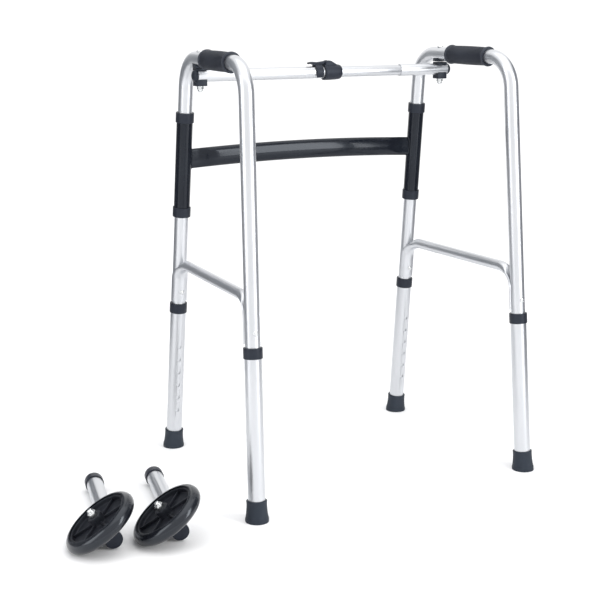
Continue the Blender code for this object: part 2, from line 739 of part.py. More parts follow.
def side_view_place(y=0.0):
    """Local X runs along the bar, local Y points up, and local Z is square to both."""
    return Matrix.Translation((0.0, TOPBAR_Y + y, TOPBAR_Z)) @ Matrix.Rotation(math.pi / 2, 4, "X")


def clip_collar():
    """The lock's collar on the end of the left tube, with two ears for the lever."""
    low, high = CLIP_X
    profile = [(TOPBAR_INNER_R + GAP, high), (0.0112, high), (0.0128, high - 0.0030),
               (0.0134, high - 0.0080), (CLIP_R, low + 0.0120), (CLIP_R, low), (TOPBAR_LEFT_R + GAP, low),
               (TOPBAR_LEFT_R + GAP, TOPBAR_LEFT_X[1] + GAP), (TOPBAR_INNER_R + GAP, TOPBAR_LEFT_X[1] + GAP)]
    body = turned("clip_collar", profile, BLACK_PLASTIC, bar_place())
    pin_x, pin_z = LEVER_PIN
    ear = [(low + 0.0010, 0.0110), (pin_x - 0.0040, pin_z + 0.0028), (pin_x + 0.0010, pin_z + 0.0040),
           (pin_x + 0.0070, pin_z + 0.0028), (high - 0.0100, 0.0126), (high - 0.0120, 0.0110)]
    hump = slab("tool", ear, 0.0150, side_view_place(), BLACK_PLASTIC)
    join(body, hump)
    slot_x = (low - 0.006 + pin_x + 0.0048) / 2
    slot_size = (pin_x + 0.0048 - low + 0.006, 0.0070, 0.0200)
    slot_z = TOPBAR_Z + pin_z - 0.0043 + 0.0100
    cut(body, block(slot_size, Matrix.Translation((slot_x, TOPBAR_Y, slot_z))))
    return body


def clip_lever():
    """The lock's lever: a saddle band over the tube, an arm to the hinge and a finger tab."""
    low, high = LEVER_BAND_X
    bore = TOPBAR_LEFT_R + GAP
    band = pipe("clip_lever", 0.0140, bore, (low + 0.003, high), BLACK_PLASTIC, bar_place())
    open_below = Matrix.Translation(((low + high) / 2, TOPBAR_Y, TOPBAR_Z - 0.0290))
    straight_sides = Matrix.Translation(((low + high) / 2, TOPBAR_Y, TOPBAR_Z - 0.0100))
    cut(band, block((0.05, 0.05, 0.04), open_below))
    cut(band, block((0.05, 2 * bore, 0.0200), straight_sides))
    pin_x, pin_z = LEVER_PIN
    arm = [(low + 0.0030, 0.0122), (low - 0.0040, 0.0150), (low - 0.0095, 0.0150),
           (low - 0.0095, 0.0172), (low - 0.0010, 0.0188), (low + 0.0100, 0.0180),
           (pin_x - 0.0050, pin_z + 0.0030), (pin_x + 0.0015, pin_z + 0.0034),
           (pin_x + 0.0034, pin_z + 0.0010), (pin_x + 0.0034, pin_z - 0.0012),
           (pin_x, pin_z - 0.0030), (high + 0.0010, 0.0134), (high - 0.0010, 0.0122)]
    return join(band, slab("tool", arm, 0.0064, side_view_place(), BLACK_PLASTIC))


# ---------------------------------------------------------------- wheel units
def unit_place(base):
    """A wheel unit's own axes: Z along the stem from its plug, X along the axle, out of the wheel."""
    rise = (COLLAR_R + 0.0001 - AXLE_HEIGHT) / (STEM_LENGTH - 0.0009 - AXLE_FROM_END)
    stem = Vector((math.sin(STEM_TURN), math.cos(STEM_TURN), rise)).normalized()
    left = Vector((-math.cos(STEM_TURN), math.sin(STEM_TURN), 0.0))
    up = stem.cross(left) if stem.cross(left).z > 0 else left.cross(stem)
    # the wheel tips over until its tyre meets the floor
    core = WHEEL_R - TYRE_HALF_WIDTH
    slack = TYRE_HALF_WIDTH + 0.0002 - AXLE_HEIGHT
    tip = math.atan2(core, WHEEL_OFFSET) + math.asin(slack / math.hypot(core, WHEEL_OFFSET))
    axle = left * math.cos(tip) + up * math.sin(tip)
    place = Matrix((axle, stem.cross(axle), stem)).transposed().to_4x4()
    place.translation = Vector((base[0], base[1], AXLE_HEIGHT - AXLE_FROM_END * rise))
    return place


def axle_place(place, x=0.0):
    """Local Z along the axle, out of the wheel."""
    return place @ Matrix.Translation((x, 0.0, AXLE_FROM_END)) @ Matrix.Rotation(math.pi / 2, 4, "Y")


def unit_stem(number, place):
    name = f"wheel_{number}_stem"
    stem = pipe(name, LOWER_R, TUBE_R + GAP, (0.0043, STEM_LENGTH - 0.0070), SATIN_ALUMINIUM, place)
    cut(stem, cylinder(AXLE_R + GAP, 0.05, axle_place(place)))
    return stem


def unit_collar(number, place):
    ends = (STEM_LENGTH - 0.0180, STEM_LENGTH)
    step = STEM_LENGTH - 0.0070 + GAP
    return collar(f"wheel_{number}_stem_collar", COLLAR_R, ends, step, LOWER_R, place)


def unit_plug(number, place):
    bore = TUBE_R - 0.0001
    profile = [(0.0, 0.0086), (bore, 0.0086), (bore, 0.0040), (PLUG_R, 0.0040), (PLUG_R, 0.0010),
               (PLUG_R - 0.0010, 0.0), (0.0, 0.0)]
    return turned(f"wheel_{number}_stem_plug", profile, BLACK_PLASTIC, place)


def unit_wheel(number, place):
    """A moulded wheel centre: hub, thin web, six ribs and rim."""
    centre = axle_place(place, WHEEL_OFFSET)
    bore = AXLE_R + GAP
    hub_r = 0.0120
    web = 0.0018
    rim_in = 0.0475
    rim_half = 0.0092
    profile = [(bore, HUB_HALF), (hub_r, HUB_HALF), (hub_r + 0.0010, web), (rim_in, web),
               (rim_in + 0.0006, rim_half), (RIM_R, rim_half), (RIM_R, -rim_half),
               (rim_in + 0.0006, -rim_half), (rim_in, -web), (hub_r + 0.0010, -web),
               (hub_r, -HUB_HALF), (bore, -HUB_HALF)]
    wheel = turned(f"wheel_{number}_centre", profile, WHEEL_PLASTIC, centre, WHEEL_ROUND)
    length = rim_in - hub_r + 0.001
    for index in range(6):
        turn = centre @ Matrix.Rotation(math.radians(60 * index + 15), 4, "Z")
        rib = turn @ Matrix.Translation((hub_r + length / 2 - 0.0005, 0.0, 0.0))
        join(wheel, block((length, 0.0026, 0.0124), rib))
    return wheel


def unit_tyre(number, place):
    """A solid tyre with a round tread, keyed over the rim."""
    bore = RIM_R + GAP
    core = WHEEL_R - TYRE_HALF_WIDTH
    profile = []
    for step in range(9):
        angle = math.radians(78 - 19.5 * step)
        reach = core + TYRE_HALF_WIDTH * math.cos(angle)
        profile.append((reach, TYRE_HALF_WIDTH * math.sin(angle)))
    profile += [(bore, profile[-1][1]), (bore, profile[0][1])]
    return turned(f"wheel_{number}_tyre", profile, TYRE_VINYL, axle_place(place, WHEEL_OFFSET), WHEEL_ROUND)


def unit_axle(number, place):
    """The axle bolt: a round head behind the stem, a plain shank and the lock nut at the hub."""
    back = -(LOWER_R + 0.0003)
    nut = WHEEL_OFFSET + HUB_HALF + 0.0004
    profile = [(0.0, nut + 0.0128), (0.0030, nut + 0.0124), (0.0038, nut + 0.0112),
               (0.0040, nut + 0.0080), (AXLE_R, nut + 0.0004), (AXLE_R, back), (0.0062, back),
               (0.0061, back - 0.0010), (0.0046, back - 0.0020), (0.0, back - 0.0022)]
    bolt = turned(f"wheel_{number}_axle_bolt", profile, ZINC, axle_place(place), SMALL_ROUND)
    flats = cylinder(0.0074, 0.0076, axle_place(place, nut + 0.0040), 6)
    return join(bolt, flats)


# ---------------------------------------------------------------- build
front_crossbar()
for one_side in (LEFT, RIGHT):
    for one_level in ("upper", "lower"):
        sleeve_collar(one_side, one_level)
    side_tube(one_side)
    side_brace(one_side)
    grip(one_side)
    for one_end in ("front", "rear"):
        brace_rivet(one_side, one_end)
        lower_tube(one_side, one_end)
        leg_collar(one_side, one_end)
        foot(one_side, one_end)
        snap_button(one_side, one_end)
    frame_saddle(one_side)
    bar_saddle(one_side)
    pivot_bolt_head(one_side)
    pivot_nut(one_side)
    under_saddle(one_side)
    bar_plug(one_side)
top_bar_tubes()
clip_collar()
clip_lever()
for one_number, one_base in enumerate(WHEEL_UNITS, 1):
    one_place = unit_place(one_base)
    unit_stem(one_number, one_place)
    unit_collar(one_number, one_place)
    unit_plug(one_number, one_place)
    unit_wheel(one_number, one_place)
    unit_tyre(one_number, one_place)
    unit_axle(one_number, one_place)



def seat(place, *names):
    """Put the parts' own origins on the joint they move about."""
    for name in names:
        part = COLLECTION.objects[name]
        part.data.transform(place.inverted() @ part.matrix_world)
        part.matrix_world = place


bpy.context.view_layer.update()
for one_side in (LEFT, RIGHT):
    mark = SIDES[one_side > 0]
    rigid = ["side_tube", "brace", "grip", "front_rivet", "rear_rivet", "frame_saddle", "pivot_bolt"]
    seat(leg_place(one_side, "front"), *[f"{mark}_{piece}" for piece in rigid])
    seat(bar_place(pivot_x(one_side)), *[f"{mark}_{piece}" for piece in
                                         ("bar_saddle", "under_saddle", "pivot_nut", "bar_plug")])
seat(bar_place(pivot_x(LEFT)), "top_bar_left_tube", "clip_collar")
seat(Matrix.Translation((LEVER_PIN[0], TOPBAR_Y, TOPBAR_Z + LEVER_PIN[1])), "clip_lever")
for one_number, one_base in enumerate(WHEEL_UNITS, 1):
    hub = axle_place(unit_place(one_base), WHEEL_OFFSET)
    seat(hub, f"wheel_{one_number}_centre", f"wheel_{one_number}_tyre")

# the whole set stands centred on the origin
points = [part.matrix_world @ vertex.co for part in COLLECTION.objects for vertex in part.data.vertices]
shift = Matrix.Translation((-(min(p.x for p in points) + max(p.x for p in points)) / 2,
                            -(min(p.y for p in points) + max(p.y for p in points)) / 2, 0.0))
for part in COLLECTION.objects:
    part.matrix_world = shift @ part.matrix_world
    shaded(part)
print("parts", len(COLLECTION.objects), "triangles",
      sum(len(face.vertices) - 2 for part in COLLECTION.objects for face in part.data.polygons),
      "shift", [round(value, 6) for value in shift.translation])
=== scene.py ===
# %% [markdown]
# # A folding walking frame
# The frame stands on a pale studio floor with its two wheel units lying beside it.
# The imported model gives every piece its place, its body and its joint; this script builds the finished
# looks around it.
# Everything is in metres, with Z up, and the floor is at zero.

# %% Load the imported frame
import math
import random

import bmesh
import bpy
from mathutils import Matrix, Vector


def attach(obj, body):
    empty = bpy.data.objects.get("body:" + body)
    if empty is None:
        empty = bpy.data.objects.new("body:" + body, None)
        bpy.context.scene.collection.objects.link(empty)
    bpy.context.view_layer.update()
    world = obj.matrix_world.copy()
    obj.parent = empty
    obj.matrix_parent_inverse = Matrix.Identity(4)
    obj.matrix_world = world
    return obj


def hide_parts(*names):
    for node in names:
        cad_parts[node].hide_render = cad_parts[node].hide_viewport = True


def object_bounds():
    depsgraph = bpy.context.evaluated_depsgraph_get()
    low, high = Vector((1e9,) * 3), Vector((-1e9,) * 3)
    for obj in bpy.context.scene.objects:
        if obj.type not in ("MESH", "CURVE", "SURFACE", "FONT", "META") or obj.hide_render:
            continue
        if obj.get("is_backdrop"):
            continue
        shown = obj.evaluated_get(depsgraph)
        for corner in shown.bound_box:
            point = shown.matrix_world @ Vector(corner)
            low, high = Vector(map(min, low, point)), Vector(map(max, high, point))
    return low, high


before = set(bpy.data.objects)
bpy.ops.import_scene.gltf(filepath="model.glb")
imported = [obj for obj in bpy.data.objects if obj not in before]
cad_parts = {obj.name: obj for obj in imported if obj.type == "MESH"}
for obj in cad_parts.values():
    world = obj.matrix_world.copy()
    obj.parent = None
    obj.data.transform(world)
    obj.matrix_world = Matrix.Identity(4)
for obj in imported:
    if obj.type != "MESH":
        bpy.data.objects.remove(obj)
CAD_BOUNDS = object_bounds()
random.seed(7)

# %% [markdown]
# ## The lines everything hangs on
# A walking frame is laid out from a few straight lines: two side planes that lean in and toe in a little,
# and four legs that splay in those planes. Keeping them as small functions means that every collar,
# rivet and foot finds its place from the same numbers as the tube it sits on.

# %% Layout of the frame
MIDDLE = Vector((0.14926, 0.024556, 0.0))
LEFT, RIGHT = -1, 1
SIDES = ("left", "right")
TOP = 0.737
TUBE_R = 0.0127
LOWER_R = 0.0143
GAP = 0.0003
BAR_Y, BAR_H = 0.060, 0.709


def on_side(side, y, z):
    """A point of a side frame's middle plane."""
    return Vector((side * (0.2589 - 0.0168 * z - 0.0477 * y), y, z)) + MIDDLE


def on_leg(side, end, z):
    """A point of a leg's axis."""
    y = 0.2066 - 0.1119 * z if end == "front" else -0.2069 + 0.0829 * z
    return on_side(side, y, z)


def aim(origin, direction, towards=(0.0, 1.0, 0.0)):
    """A place whose local Z is the direction and whose local Y leans towards the given way."""
    z = Vector(direction).normalized()
    x = Vector(towards).cross(z).normalized()
    place = Matrix((x, z.cross(x), z)).transposed().to_4x4()
    place.translation = Vector(origin)
    return place


def leg_up(side, end):
    return (on_leg(side, end, 1.0) - on_leg(side, end, 0.0)).normalized()


def handle_way(side):
    return (on_side(side, 1.0, 0.0) - on_side(side, 0.0, 0.0)).normalized()


def leg_place(side, end):
    """Local Z runs up the leg from the floor, local Y points to the other leg."""
    return aim(on_leg(side, end, 0.0), leg_up(side, end), handle_way(side) * (-1 if end == "front" else 1))


def along(side, end, z):
    """Distance up a leg's axis to a height."""
    return (on_leg(side, end, z) - on_leg(side, end, 0.0)).length


def bar_place(x=0.0):
    """Local Z runs along the top bar, local Y points up."""
    return aim(Vector((x, BAR_Y, BAR_H)) + MIDDLE, (1.0, 0.0, 0.0), (0.0, 0.0, 1.0))


def pivot_x(side):
    return (on_side(side, BAR_Y, TOP) - MIDDLE).x


print("front leg meets the handle at y", round(on_leg(LEFT, "front", TOP).y, 4))

# %% [markdown]
# ## Small tools for shaping
# Turned pieces are spun from a profile, just as on a lathe, and swept pieces follow a path.
# Each one keeps its own lengthwise and crosswise position in an attribute called `own`,
# so that a finish can run along a tube or around a collar whichever way the piece stands.

# %% Shaping tools
PIECES = []


def keep_own(mesh):
    """Store every point's place in the piece's own axes."""
    mark = mesh.attributes.new("own", "FLOAT_VECTOR", "POINT")
    for vertex in mesh.vertices:
        mark.data[vertex.index].vector = vertex.co


def piece(name, mesh, body, material, nodes=(), place=None, sharp=32.0, own=True):
    """One finished piece: its mesh at the origin, its finish, its body and what it stands for."""
    if own and "own" not in mesh.attributes:
        keep_own(mesh)
    if place is not None:
        mesh.transform(place)
    mesh.shade_smooth()
    mesh.set_sharp_from_angle(angle=math.radians(sharp))
    mesh.name = name
    mesh.materials.clear()
    mesh.materials.append(material)
    for face in mesh.polygons:
        face.material_index = 0
    part = bpy.data.objects.new(name, mesh)
    bpy.context.scene.collection.objects.link(part)
    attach(part, body)
    if nodes:
        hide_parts(*nodes)
    PIECES.append(part)
    return part


def spare(mesh):
    """A working object, not kept."""
    part = bpy.data.objects.new("work", mesh)
    bpy.context.scene.collection.objects.link(part)
    return part


def settle(part):
    """The mesh that a working object's modifiers give; the object goes."""
    bpy.context.view_layer.update()
    graph = bpy.context.evaluated_depsgraph_get()
    mesh = bpy.data.meshes.new_from_object(part.evaluated_get(graph))
    bpy.data.objects.remove(part, do_unlink=True)
    work = bmesh.new()
    work.from_mesh(mesh)
    bmesh.ops.remove_doubles(work, verts=work.verts, dist=0.000002)
    bmesh.ops.recalc_face_normals(work, faces=work.faces)
    work.to_mesh(mesh)
    work.free()
    return mesh


def turned(profile, sides=64):
    """A mesh spun about local Z from (radius, height) points, run down the outside and up the inside."""
    mesh = bpy.data.meshes.new("turned")
    points = [(radius, 0.0, height) for radius, height in profile]
    pairs = [(i, (i + 1) % len(points)) for i in range(len(points))]
    edges = [(i, j) for i, j in pairs if points[i][0] > 0.0 or points[j][0] > 0.0]
    mesh.from_pydata(points, edges, [])
    part = spare(mesh)
    spin = part.modifiers.new("spin", "SCREW")
    spin.steps = sides
    spin.render_steps = sides
    spin.use_merge_vertices = True
    spin.merge_threshold = 0.00001
    return settle(part)


def round_edge(points, radius, steps=4):
    """Soften the corners of a profile with small arcs; points on the axis stay."""
    out = []
    count = len(points)
    for i, point in enumerate(points):
        here = Vector(point)
        before, after = Vector(points[i - 1]), Vector(points[(i + 1) % count])
        back, ahead = before - here, after - here
        reach = min(radius, back.length * 0.45, ahead.length * 0.45)
        if point[0] <= 0.0 or reach < 0.00003:
            out.append(tuple(here))
            continue
        start, end = here + back.normalized() * reach, here + ahead.normalized() * reach
        for step in range(steps + 1):
            t = step / steps
            out.append(tuple(start * (1 - t) ** 2 + here * 2 * t * (1 - t) + end * t * t))
    return out


def tube(outer, inner, low, high, lip=0.0005, sides=64):
    """An open tube with dressed ends."""
    return turned(round_edge([(outer, high), (outer, low), (inner, low), (inner, high)], lip, 3), sides)


def solid_block(size, at=(0.0, 0.0, 0.0)):
    mesh = bpy.data.meshes.new("block")
    work = bmesh.new()
    bmesh.ops.create_cube(work, size=1.0)
    bmesh.ops.scale(work, vec=size, verts=work.verts)
    bmesh.ops.translate(work, vec=at, verts=work.verts)
    work.to_mesh(mesh)
    work.free()
    return mesh


def rod(radius, depth, place=None, sides=48):
    """A bare cylinder about local Z."""
    mesh = bpy.data.meshes.new("rod")
    work = bmesh.new()
    bmesh.ops.create_cone(work, cap_ends=True, segments=sides, radius1=radius, radius2=radius, depth=depth)
    work.to_mesh(mesh)
    work.free()
    if place is not None:
        mesh.transform(place)
    return mesh


def combined(mesh, others, operation="DIFFERENCE"):
    """Cut meshes away from a mesh, or join them to it."""
    for other in others:
        part, tool = spare(mesh), spare(other)
        change = part.modifiers.new("change", "BOOLEAN")
        change.operation = operation
        change.solver = "EXACT"
        change.object = tool
        mesh = settle(part)
        bpy.data.objects.remove(tool, do_unlink=True)
    return mesh


def softened(mesh, width, segments=3):
    """Round the hard edges a little."""
    part = spare(mesh)
    bevel = part.modifiers.new("soft", "BEVEL")
    bevel.width = width
    bevel.segments = segments
    bevel.limit_method = "ANGLE"
    bevel.angle_limit = math.radians(38)
    return settle(part)


def skin(sections, closed_ends=True):
    """Skin rings of points that all have the same count; keeps crosswise and lengthwise places."""
    mesh = bpy.data.meshes.new("skin")
    work = bmesh.new()
    rings = [[work.verts.new(point) for point in section] for section in sections]
    count = len(rings[0])
    for low, high in zip(rings, rings[1:]):
        for i in range(count):
            j = (i + 1) % count
            work.faces.new((low[i], low[j], high[j], high[i]))
    if closed_ends:
        work.faces.new(rings[0])
        work.faces.new(rings[-1])
    bmesh.ops.recalc_face_normals(work, faces=work.faces)
    work.to_mesh(mesh)
    work.free()
    mark = mesh.attributes.new("own", "FLOAT_VECTOR", "POINT")
    index = 0
    run = 0.0
    last = None
    for section in sections:
        middle = sum((Vector(p) for p in section), Vector()) / count
        run += (middle - last).length if last is not None else 0.0
        last = middle
        for i in range(count):
            angle = 2 * math.pi * i / count
            mark.data[index].vector = (math.cos(angle) * TUBE_R, math.sin(angle) * TUBE_R, run)
            index += 1
    return mesh


def radial(mesh, place_inverse, smallest=0.006):
    """Give the round wall of a drilled tube its true normals, so the holes leave no dents in the shine."""
    normals = []
    for face in mesh.polygons:
        centre = place_inverse @ face.center
        outwards = Vector((centre.x, centre.y, 0.0)).normalized()
        facing = (place_inverse.to_3x3() @ face.normal).dot(outwards)
        for loop in face.loop_indices:
            point = place_inverse @ mesh.vertices[mesh.loops[loop].vertex_index].co
            wall = Vector((point.x, point.y, 0.0))
            if abs(facing) > 0.97 and wall.length > smallest:
                normal = place_inverse.inverted().to_3x3() @ (wall.normalized() * (1 if facing > 0 else -1))
            else:
                normal = face.normal
            normals.append(normal)
    mesh.normals_split_custom_set(normals)


print("tools ready")

# %% [markdown]
# ## Finishes
# The tubes are bead-blasted and anodised aluminium: a satin, nearly white metal with a very fine grain.
# The crossbar is dipped in gloss black enamel, the grips are moulded vinyl, the tips are slate rubber,
# and the little fittings are bright zinc. Each finish is mixed from noise at two or three sizes,
# because a real surface varies a little in tone and a little more in gloss.

# %% Finishes
def shader_tree(name):
    material = bpy.data.materials.new(name)
    material.use_nodes = True
    nodes = material.node_tree.nodes
    return material, nodes, material.node_tree.links, nodes["Principled BSDF"]


def noise(nodes, links, source, stretch, scale, detail=3.0, roughness=0.5):
    """Noise over a position, stretched differently each way."""
    spread = nodes.new("ShaderNodeVectorMath")
    spread.operation = "MULTIPLY"
    spread.inputs[1].default_value = stretch
    links.new(source, spread.inputs[0])
    pattern = nodes.new("ShaderNodeTexNoise")
    pattern.inputs["Scale"].default_value = scale
    pattern.inputs["Detail"].default_value = detail
    pattern.inputs["Roughness"].default_value = roughness
    links.new(spread.outputs[0], pattern.inputs["Vector"])
    return pattern.outputs["Fac"]


def ranged(nodes, links, source, low, high, from_low=0.3, from_high=0.7):
    change = nodes.new("ShaderNodeMapRange")
    change.inputs["From Min"].default_value = from_low
    change.inputs["From Max"].default_value = from_high
    change.inputs["To Min"].default_value = low
    change.inputs["To Max"].default_value = high
    links.new(source, change.inputs["Value"])
    return change.outputs["Result"]


def tinted(nodes, links, source, dark, light):
    """A colour between two, by a share."""
    mix = nodes.new("ShaderNodeMix")
    mix.data_type = "RGBA"
    mix.inputs["A"].default_value = (*dark, 1.0)
    mix.inputs["B"].default_value = (*light, 1.0)
    links.new(source, mix.inputs["Factor"])
    return mix.outputs["Result"]


def bumped(nodes, links, shader, source, depth, strength=1.0):
    bump = nodes.new("ShaderNodeBump")
    bump.inputs["Strength"].default_value = strength
    bump.inputs["Distance"].default_value = depth
    links.new(source, bump.inputs["Height"])
    links.new(bump.outputs["Normal"], shader.inputs["Normal"])


def surface(name, dark, light, rough, metallic=0.0, grain=(1, 1, 1), grain_scale=900.0, depth=0.00002,
            tone_scale=22.0, coat=0.0, coat_rough=0.05, specular=0.24):
    """A finish in two tones with a fine grain and a slowly varying gloss."""
    material, nodes, links, shader = shader_tree(name)
    where = nodes.new("ShaderNodeAttribute")
    where.attribute_name = "own"
    place = where.outputs["Vector"]
    slow = noise(nodes, links, place, (1.0, 1.0, 0.35), tone_scale, 4.0)
    fine = noise(nodes, links, place, grain, grain_scale, 2.0)
    tone = ranged(nodes, links, slow, 0.0, 1.0)
    links.new(tinted(nodes, links, tone, dark, light), shader.inputs["Base Color"])
    gloss = ranged(nodes, links, slow, rough[0], rough[1])
    links.new(gloss, shader.inputs["Roughness"])
    shader.inputs["Metallic"].default_value = metallic
    shader.inputs["Coat Weight"].default_value = coat
    shader.inputs["Coat Roughness"].default_value = coat_rough
    shader.inputs["Specular IOR Level"].default_value = specular
    shader.inputs["Specular Tint"].default_value = (
        (1.0, 1.0, 1.0, 1.0) if metallic else (0.82, 0.90, 1.0, 1.0))
    bumped(nodes, links, shader, fine, depth, 0.6)
    return material


ALUMINIUM = surface("satin aluminium", (0.585, 0.60, 0.625), (0.64, 0.65, 0.67), (0.29, 0.36), 1.0,
                    (1.0, 1.0, 0.12), 1400.0, 0.000006, 14.0)
ENAMEL = surface("gloss black enamel", (0.004, 0.005, 0.009), (0.007, 0.009, 0.014), (0.12, 0.19), 0.0,
                 (1, 1, 1), 160.0, 0.00004, 30.0, 0.15, 0.06)
PLASTIC = surface("black moulding", (0.012, 0.014, 0.021), (0.020, 0.023, 0.032), (0.34, 0.46), 0.0,
                  (1, 1, 1), 1500.0, 0.00003, 60.0)
GRIP = surface("grip vinyl", (0.017, 0.019, 0.027), (0.027, 0.030, 0.040), (0.40, 0.52), 0.0,
               (1, 1, 1), 1200.0, 0.00004, 45.0, specular=0.4)
RUBBER = surface("slate rubber", (0.017, 0.022, 0.031), (0.028, 0.034, 0.045), (0.48, 0.64), 0.0,
                 (1, 1, 1), 800.0, 0.00006, 50.0)
ZINC = surface("bright zinc", (0.60, 0.62, 0.63), (0.74, 0.75, 0.75), (0.18, 0.30), 1.0,
               (1, 1, 1), 900.0, 0.00002, 120.0)
HUB = surface("wheel moulding", (0.008, 0.009, 0.012), (0.014, 0.015, 0.020), (0.30, 0.42), 0.0,
              (1, 1, 1), 1000.0, 0.00003, 40.0)
TYRE = surface("smooth tread", (0.006, 0.007, 0.010), (0.010, 0.011, 0.015), (0.13, 0.22), 0.0,
               (1, 1, 1), 300.0, 0.00003, 35.0, 0.2, 0.12, specular=0.4)
print("finishes", [m.name for m in (ALUMINIUM, ENAMEL, PLASTIC, GRIP, RUBBER, ZINC, HUB, TYRE)])

# %% [markdown]
# ## Side frames
# Each side is one length of one-inch tube, bent twice on a former, so the bend keeps its full round section.
# The path is a polyline with its two corners turned into arcs, and the tube is swept along it with a wall
# thickness, its ends left open as they are sawn. The brace below is a thinner tube whose ends are pressed
# into half pipes that lie on the legs, which is why its section changes on the way round the bend.

# %% Side tubes
def rounded(corners, radius, steps):
    """A polyline with its inner corners replaced by arcs."""
    path = [corners[0]]
    for before, corner, after in zip(corners, corners[1:], corners[2:]):
        back = (before - corner).normalized()
        ahead = (after - corner).normalized()
        half = back.angle(ahead) / 2
        reach = radius / math.tan(half)
        centre = corner + (back + ahead).normalized() * radius / math.sin(half)
        start = corner + back * reach - centre
        axis = start.cross(corner + ahead * reach - centre).normalized()
        for step in range(steps + 1):
            path.append(centre + Matrix.Rotation((math.pi - 2 * half) * step / steps, 3, axis) @ start)
    path.append(corners[-1])
    return path


def swept(path, radius, normal, count):
    """Rings square to a flat path."""
    rings = []
    for i, point in enumerate(path):
        before, after = path[max(i - 1, 0)], path[min(i + 1, len(path) - 1)]
        ahead = (after - before).normalized()
        side = normal.cross(ahead).normalized()
        upright = ahead.cross(side).normalized()
        angles = [2 * math.pi * k / count for k in range(count)]
        rings.append([point + side * radius * math.cos(a) + upright * radius * math.sin(a) for a in angles])
    return rings


for side in (LEFT, RIGHT):
    mark = SIDES[side > 0]
    corners = [on_leg(side, "front", 0.045), on_leg(side, "front", TOP),
               on_leg(side, "rear", TOP), on_leg(side, "rear", 0.045)]
    path = rounded(corners, 0.055, 30)
    flat = (corners[1] - corners[0]).cross(corners[2] - corners[1]).normalized()
    outer = swept(path, TUBE_R, flat, 56)
    inner = swept(path, TUBE_R - 0.0015, flat, 56)
    loop = outer + inner[::-1]
    wall = skin(loop + [loop[0]], closed_ends=False)
    work = bmesh.new()
    work.from_mesh(wall)
    bmesh.ops.remove_doubles(work, verts=work.verts, dist=0.000002)
    bmesh.ops.recalc_face_normals(work, faces=work.faces)
    work.to_mesh(wall)
    work.free()
    piece(f"{mark}_side_tube_look", wall, f"{mark}_frame", ALUMINIUM,
          [f"{mark}_side_tube"])
print("side tubes", len(path), "stations each")

# %% Side braces
BRACE_R = 0.0094
BRACE_OFFSET = 0.0150
BRACE_BEND = 0.034
PRESS = math.radians(68.0)


def brace_section(centre, away, across, amount, half=24):
    """One ring of the brace: round at 0, pressed to a half pipe around the leg at 1."""
    reach = math.radians(84.0)
    inner = TUBE_R + GAP
    outer = inner + 0.0024
    ring = []
    for i in range(2 * half):
        angle = math.pi * (2 * i + 1 - half) / (2 * half)
        plain = Vector((BRACE_R * math.cos(angle), BRACE_R * math.sin(angle)))
        turn = 2 * i + 1 - half if i < half else 3 * half - 1 - 2 * i
        sweep = reach * turn / (half - 1)
        sweep = max(-reach, min(reach, sweep))
        radius = outer if i < half else inner
        pressed = Vector((radius * math.cos(sweep) - BRACE_OFFSET, radius * math.sin(sweep)))
        point = plain.lerp(pressed, amount)
        ring.append(centre + away * point.x + across * point.y)
    return ring


def brace_half(side, end):
    """Rings from a pressed end, up the leg and round the bend to the straight stretch."""
    up = leg_up(side, end)
    away = leg_place(side, end).col[1].to_3d()
    across = up.cross(away)
    level = handle_way(side) * (-1 if end == "front" else 1)
    turn = up.angle(level)
    climb = up * BRACE_BEND * math.sin(turn) + away * (BRACE_OFFSET + BRACE_BEND * (1 - math.cos(turn)))
    low = on_leg(side, end, 0.2945) + away * BRACE_OFFSET
    corner = on_leg(side, end, 0.366 - climb.z) + away * BRACE_OFFSET
    rings = [brace_section(low.lerp(corner, step / 6), away, across, 1.0) for step in range(7)]
    hub = corner + away * BRACE_BEND
    for step in range(1, 29):
        angle = turn * step / 28
        inwards = away * math.cos(angle) - up * math.sin(angle)
        blend = max(0.0, 1.0 - angle / PRESS)
        rings.append(brace_section(hub - inwards * BRACE_BEND, inwards, across,
                                   blend * blend * (3 - 2 * blend)))
    return rings


for side in (LEFT, RIGHT):
    mark = SIDES[side > 0]
    front, rear = brace_half(side, "front"), brace_half(side, "rear")
    size = len(rear[0])
    turned_over = [[ring[(size * 3 // 2 - 1 - i) % size] for i in range(size)] for ring in reversed(rear)]
    piece(f"{mark}_brace_look", skin(front + turned_over), f"{mark}_frame", ALUMINIUM,
          [f"{mark}_brace"], sharp=50.0)
print("braces done")

# %% Brace rivets
def rivet_place(side, end):
    inwards = leg_place(side, end).col[1].to_3d()
    return aim(on_leg(side, end, 0.3125), inwards, (0.0, 0.0, 1.0))


for side in (LEFT, RIGHT):
    for end in ("front", "rear"):
        mark = SIDES[side > 0]
        far = TUBE_R + GAP + 0.0025
        near = -(TUBE_R + 0.0001)
        head = [(0.0, far + 0.0019), (0.0018, far + 0.0018), (0.0034, far + 0.0012), (0.0044, far + 0.0003),
                (0.0044, far), (0.0024, far), (0.0024, near), (0.0044, near), (0.0044, near - 0.0003),
                (0.0034, near - 0.0012), (0.0018, near - 0.0018), (0.0, near - 0.0019)]
        mesh = turned(round_edge(head, 0.0003, 2), 40)
        slot = solid_block((0.0010, 0.0062, 0.0010), (0.0, 0.0, near - 0.0019))
        mesh = combined(mesh, [slot])
        piece(f"{mark}_{end}_rivet_look", mesh, f"{mark}_frame", ZINC, [f"{mark}_{end}_rivet"],
              rivet_place(side, end))
print("rivets done")

# %% [markdown]
# ## Hand grips
# A grip is a vinyl sleeve pulled over the tube while warm. It has a collar ring at each end and is ringed
# all along with fine ribs. The ribs repeat at one pitch, so a small geometry-nodes tree sets copies of
# one ring along the grip's axis and makes them real geometry.

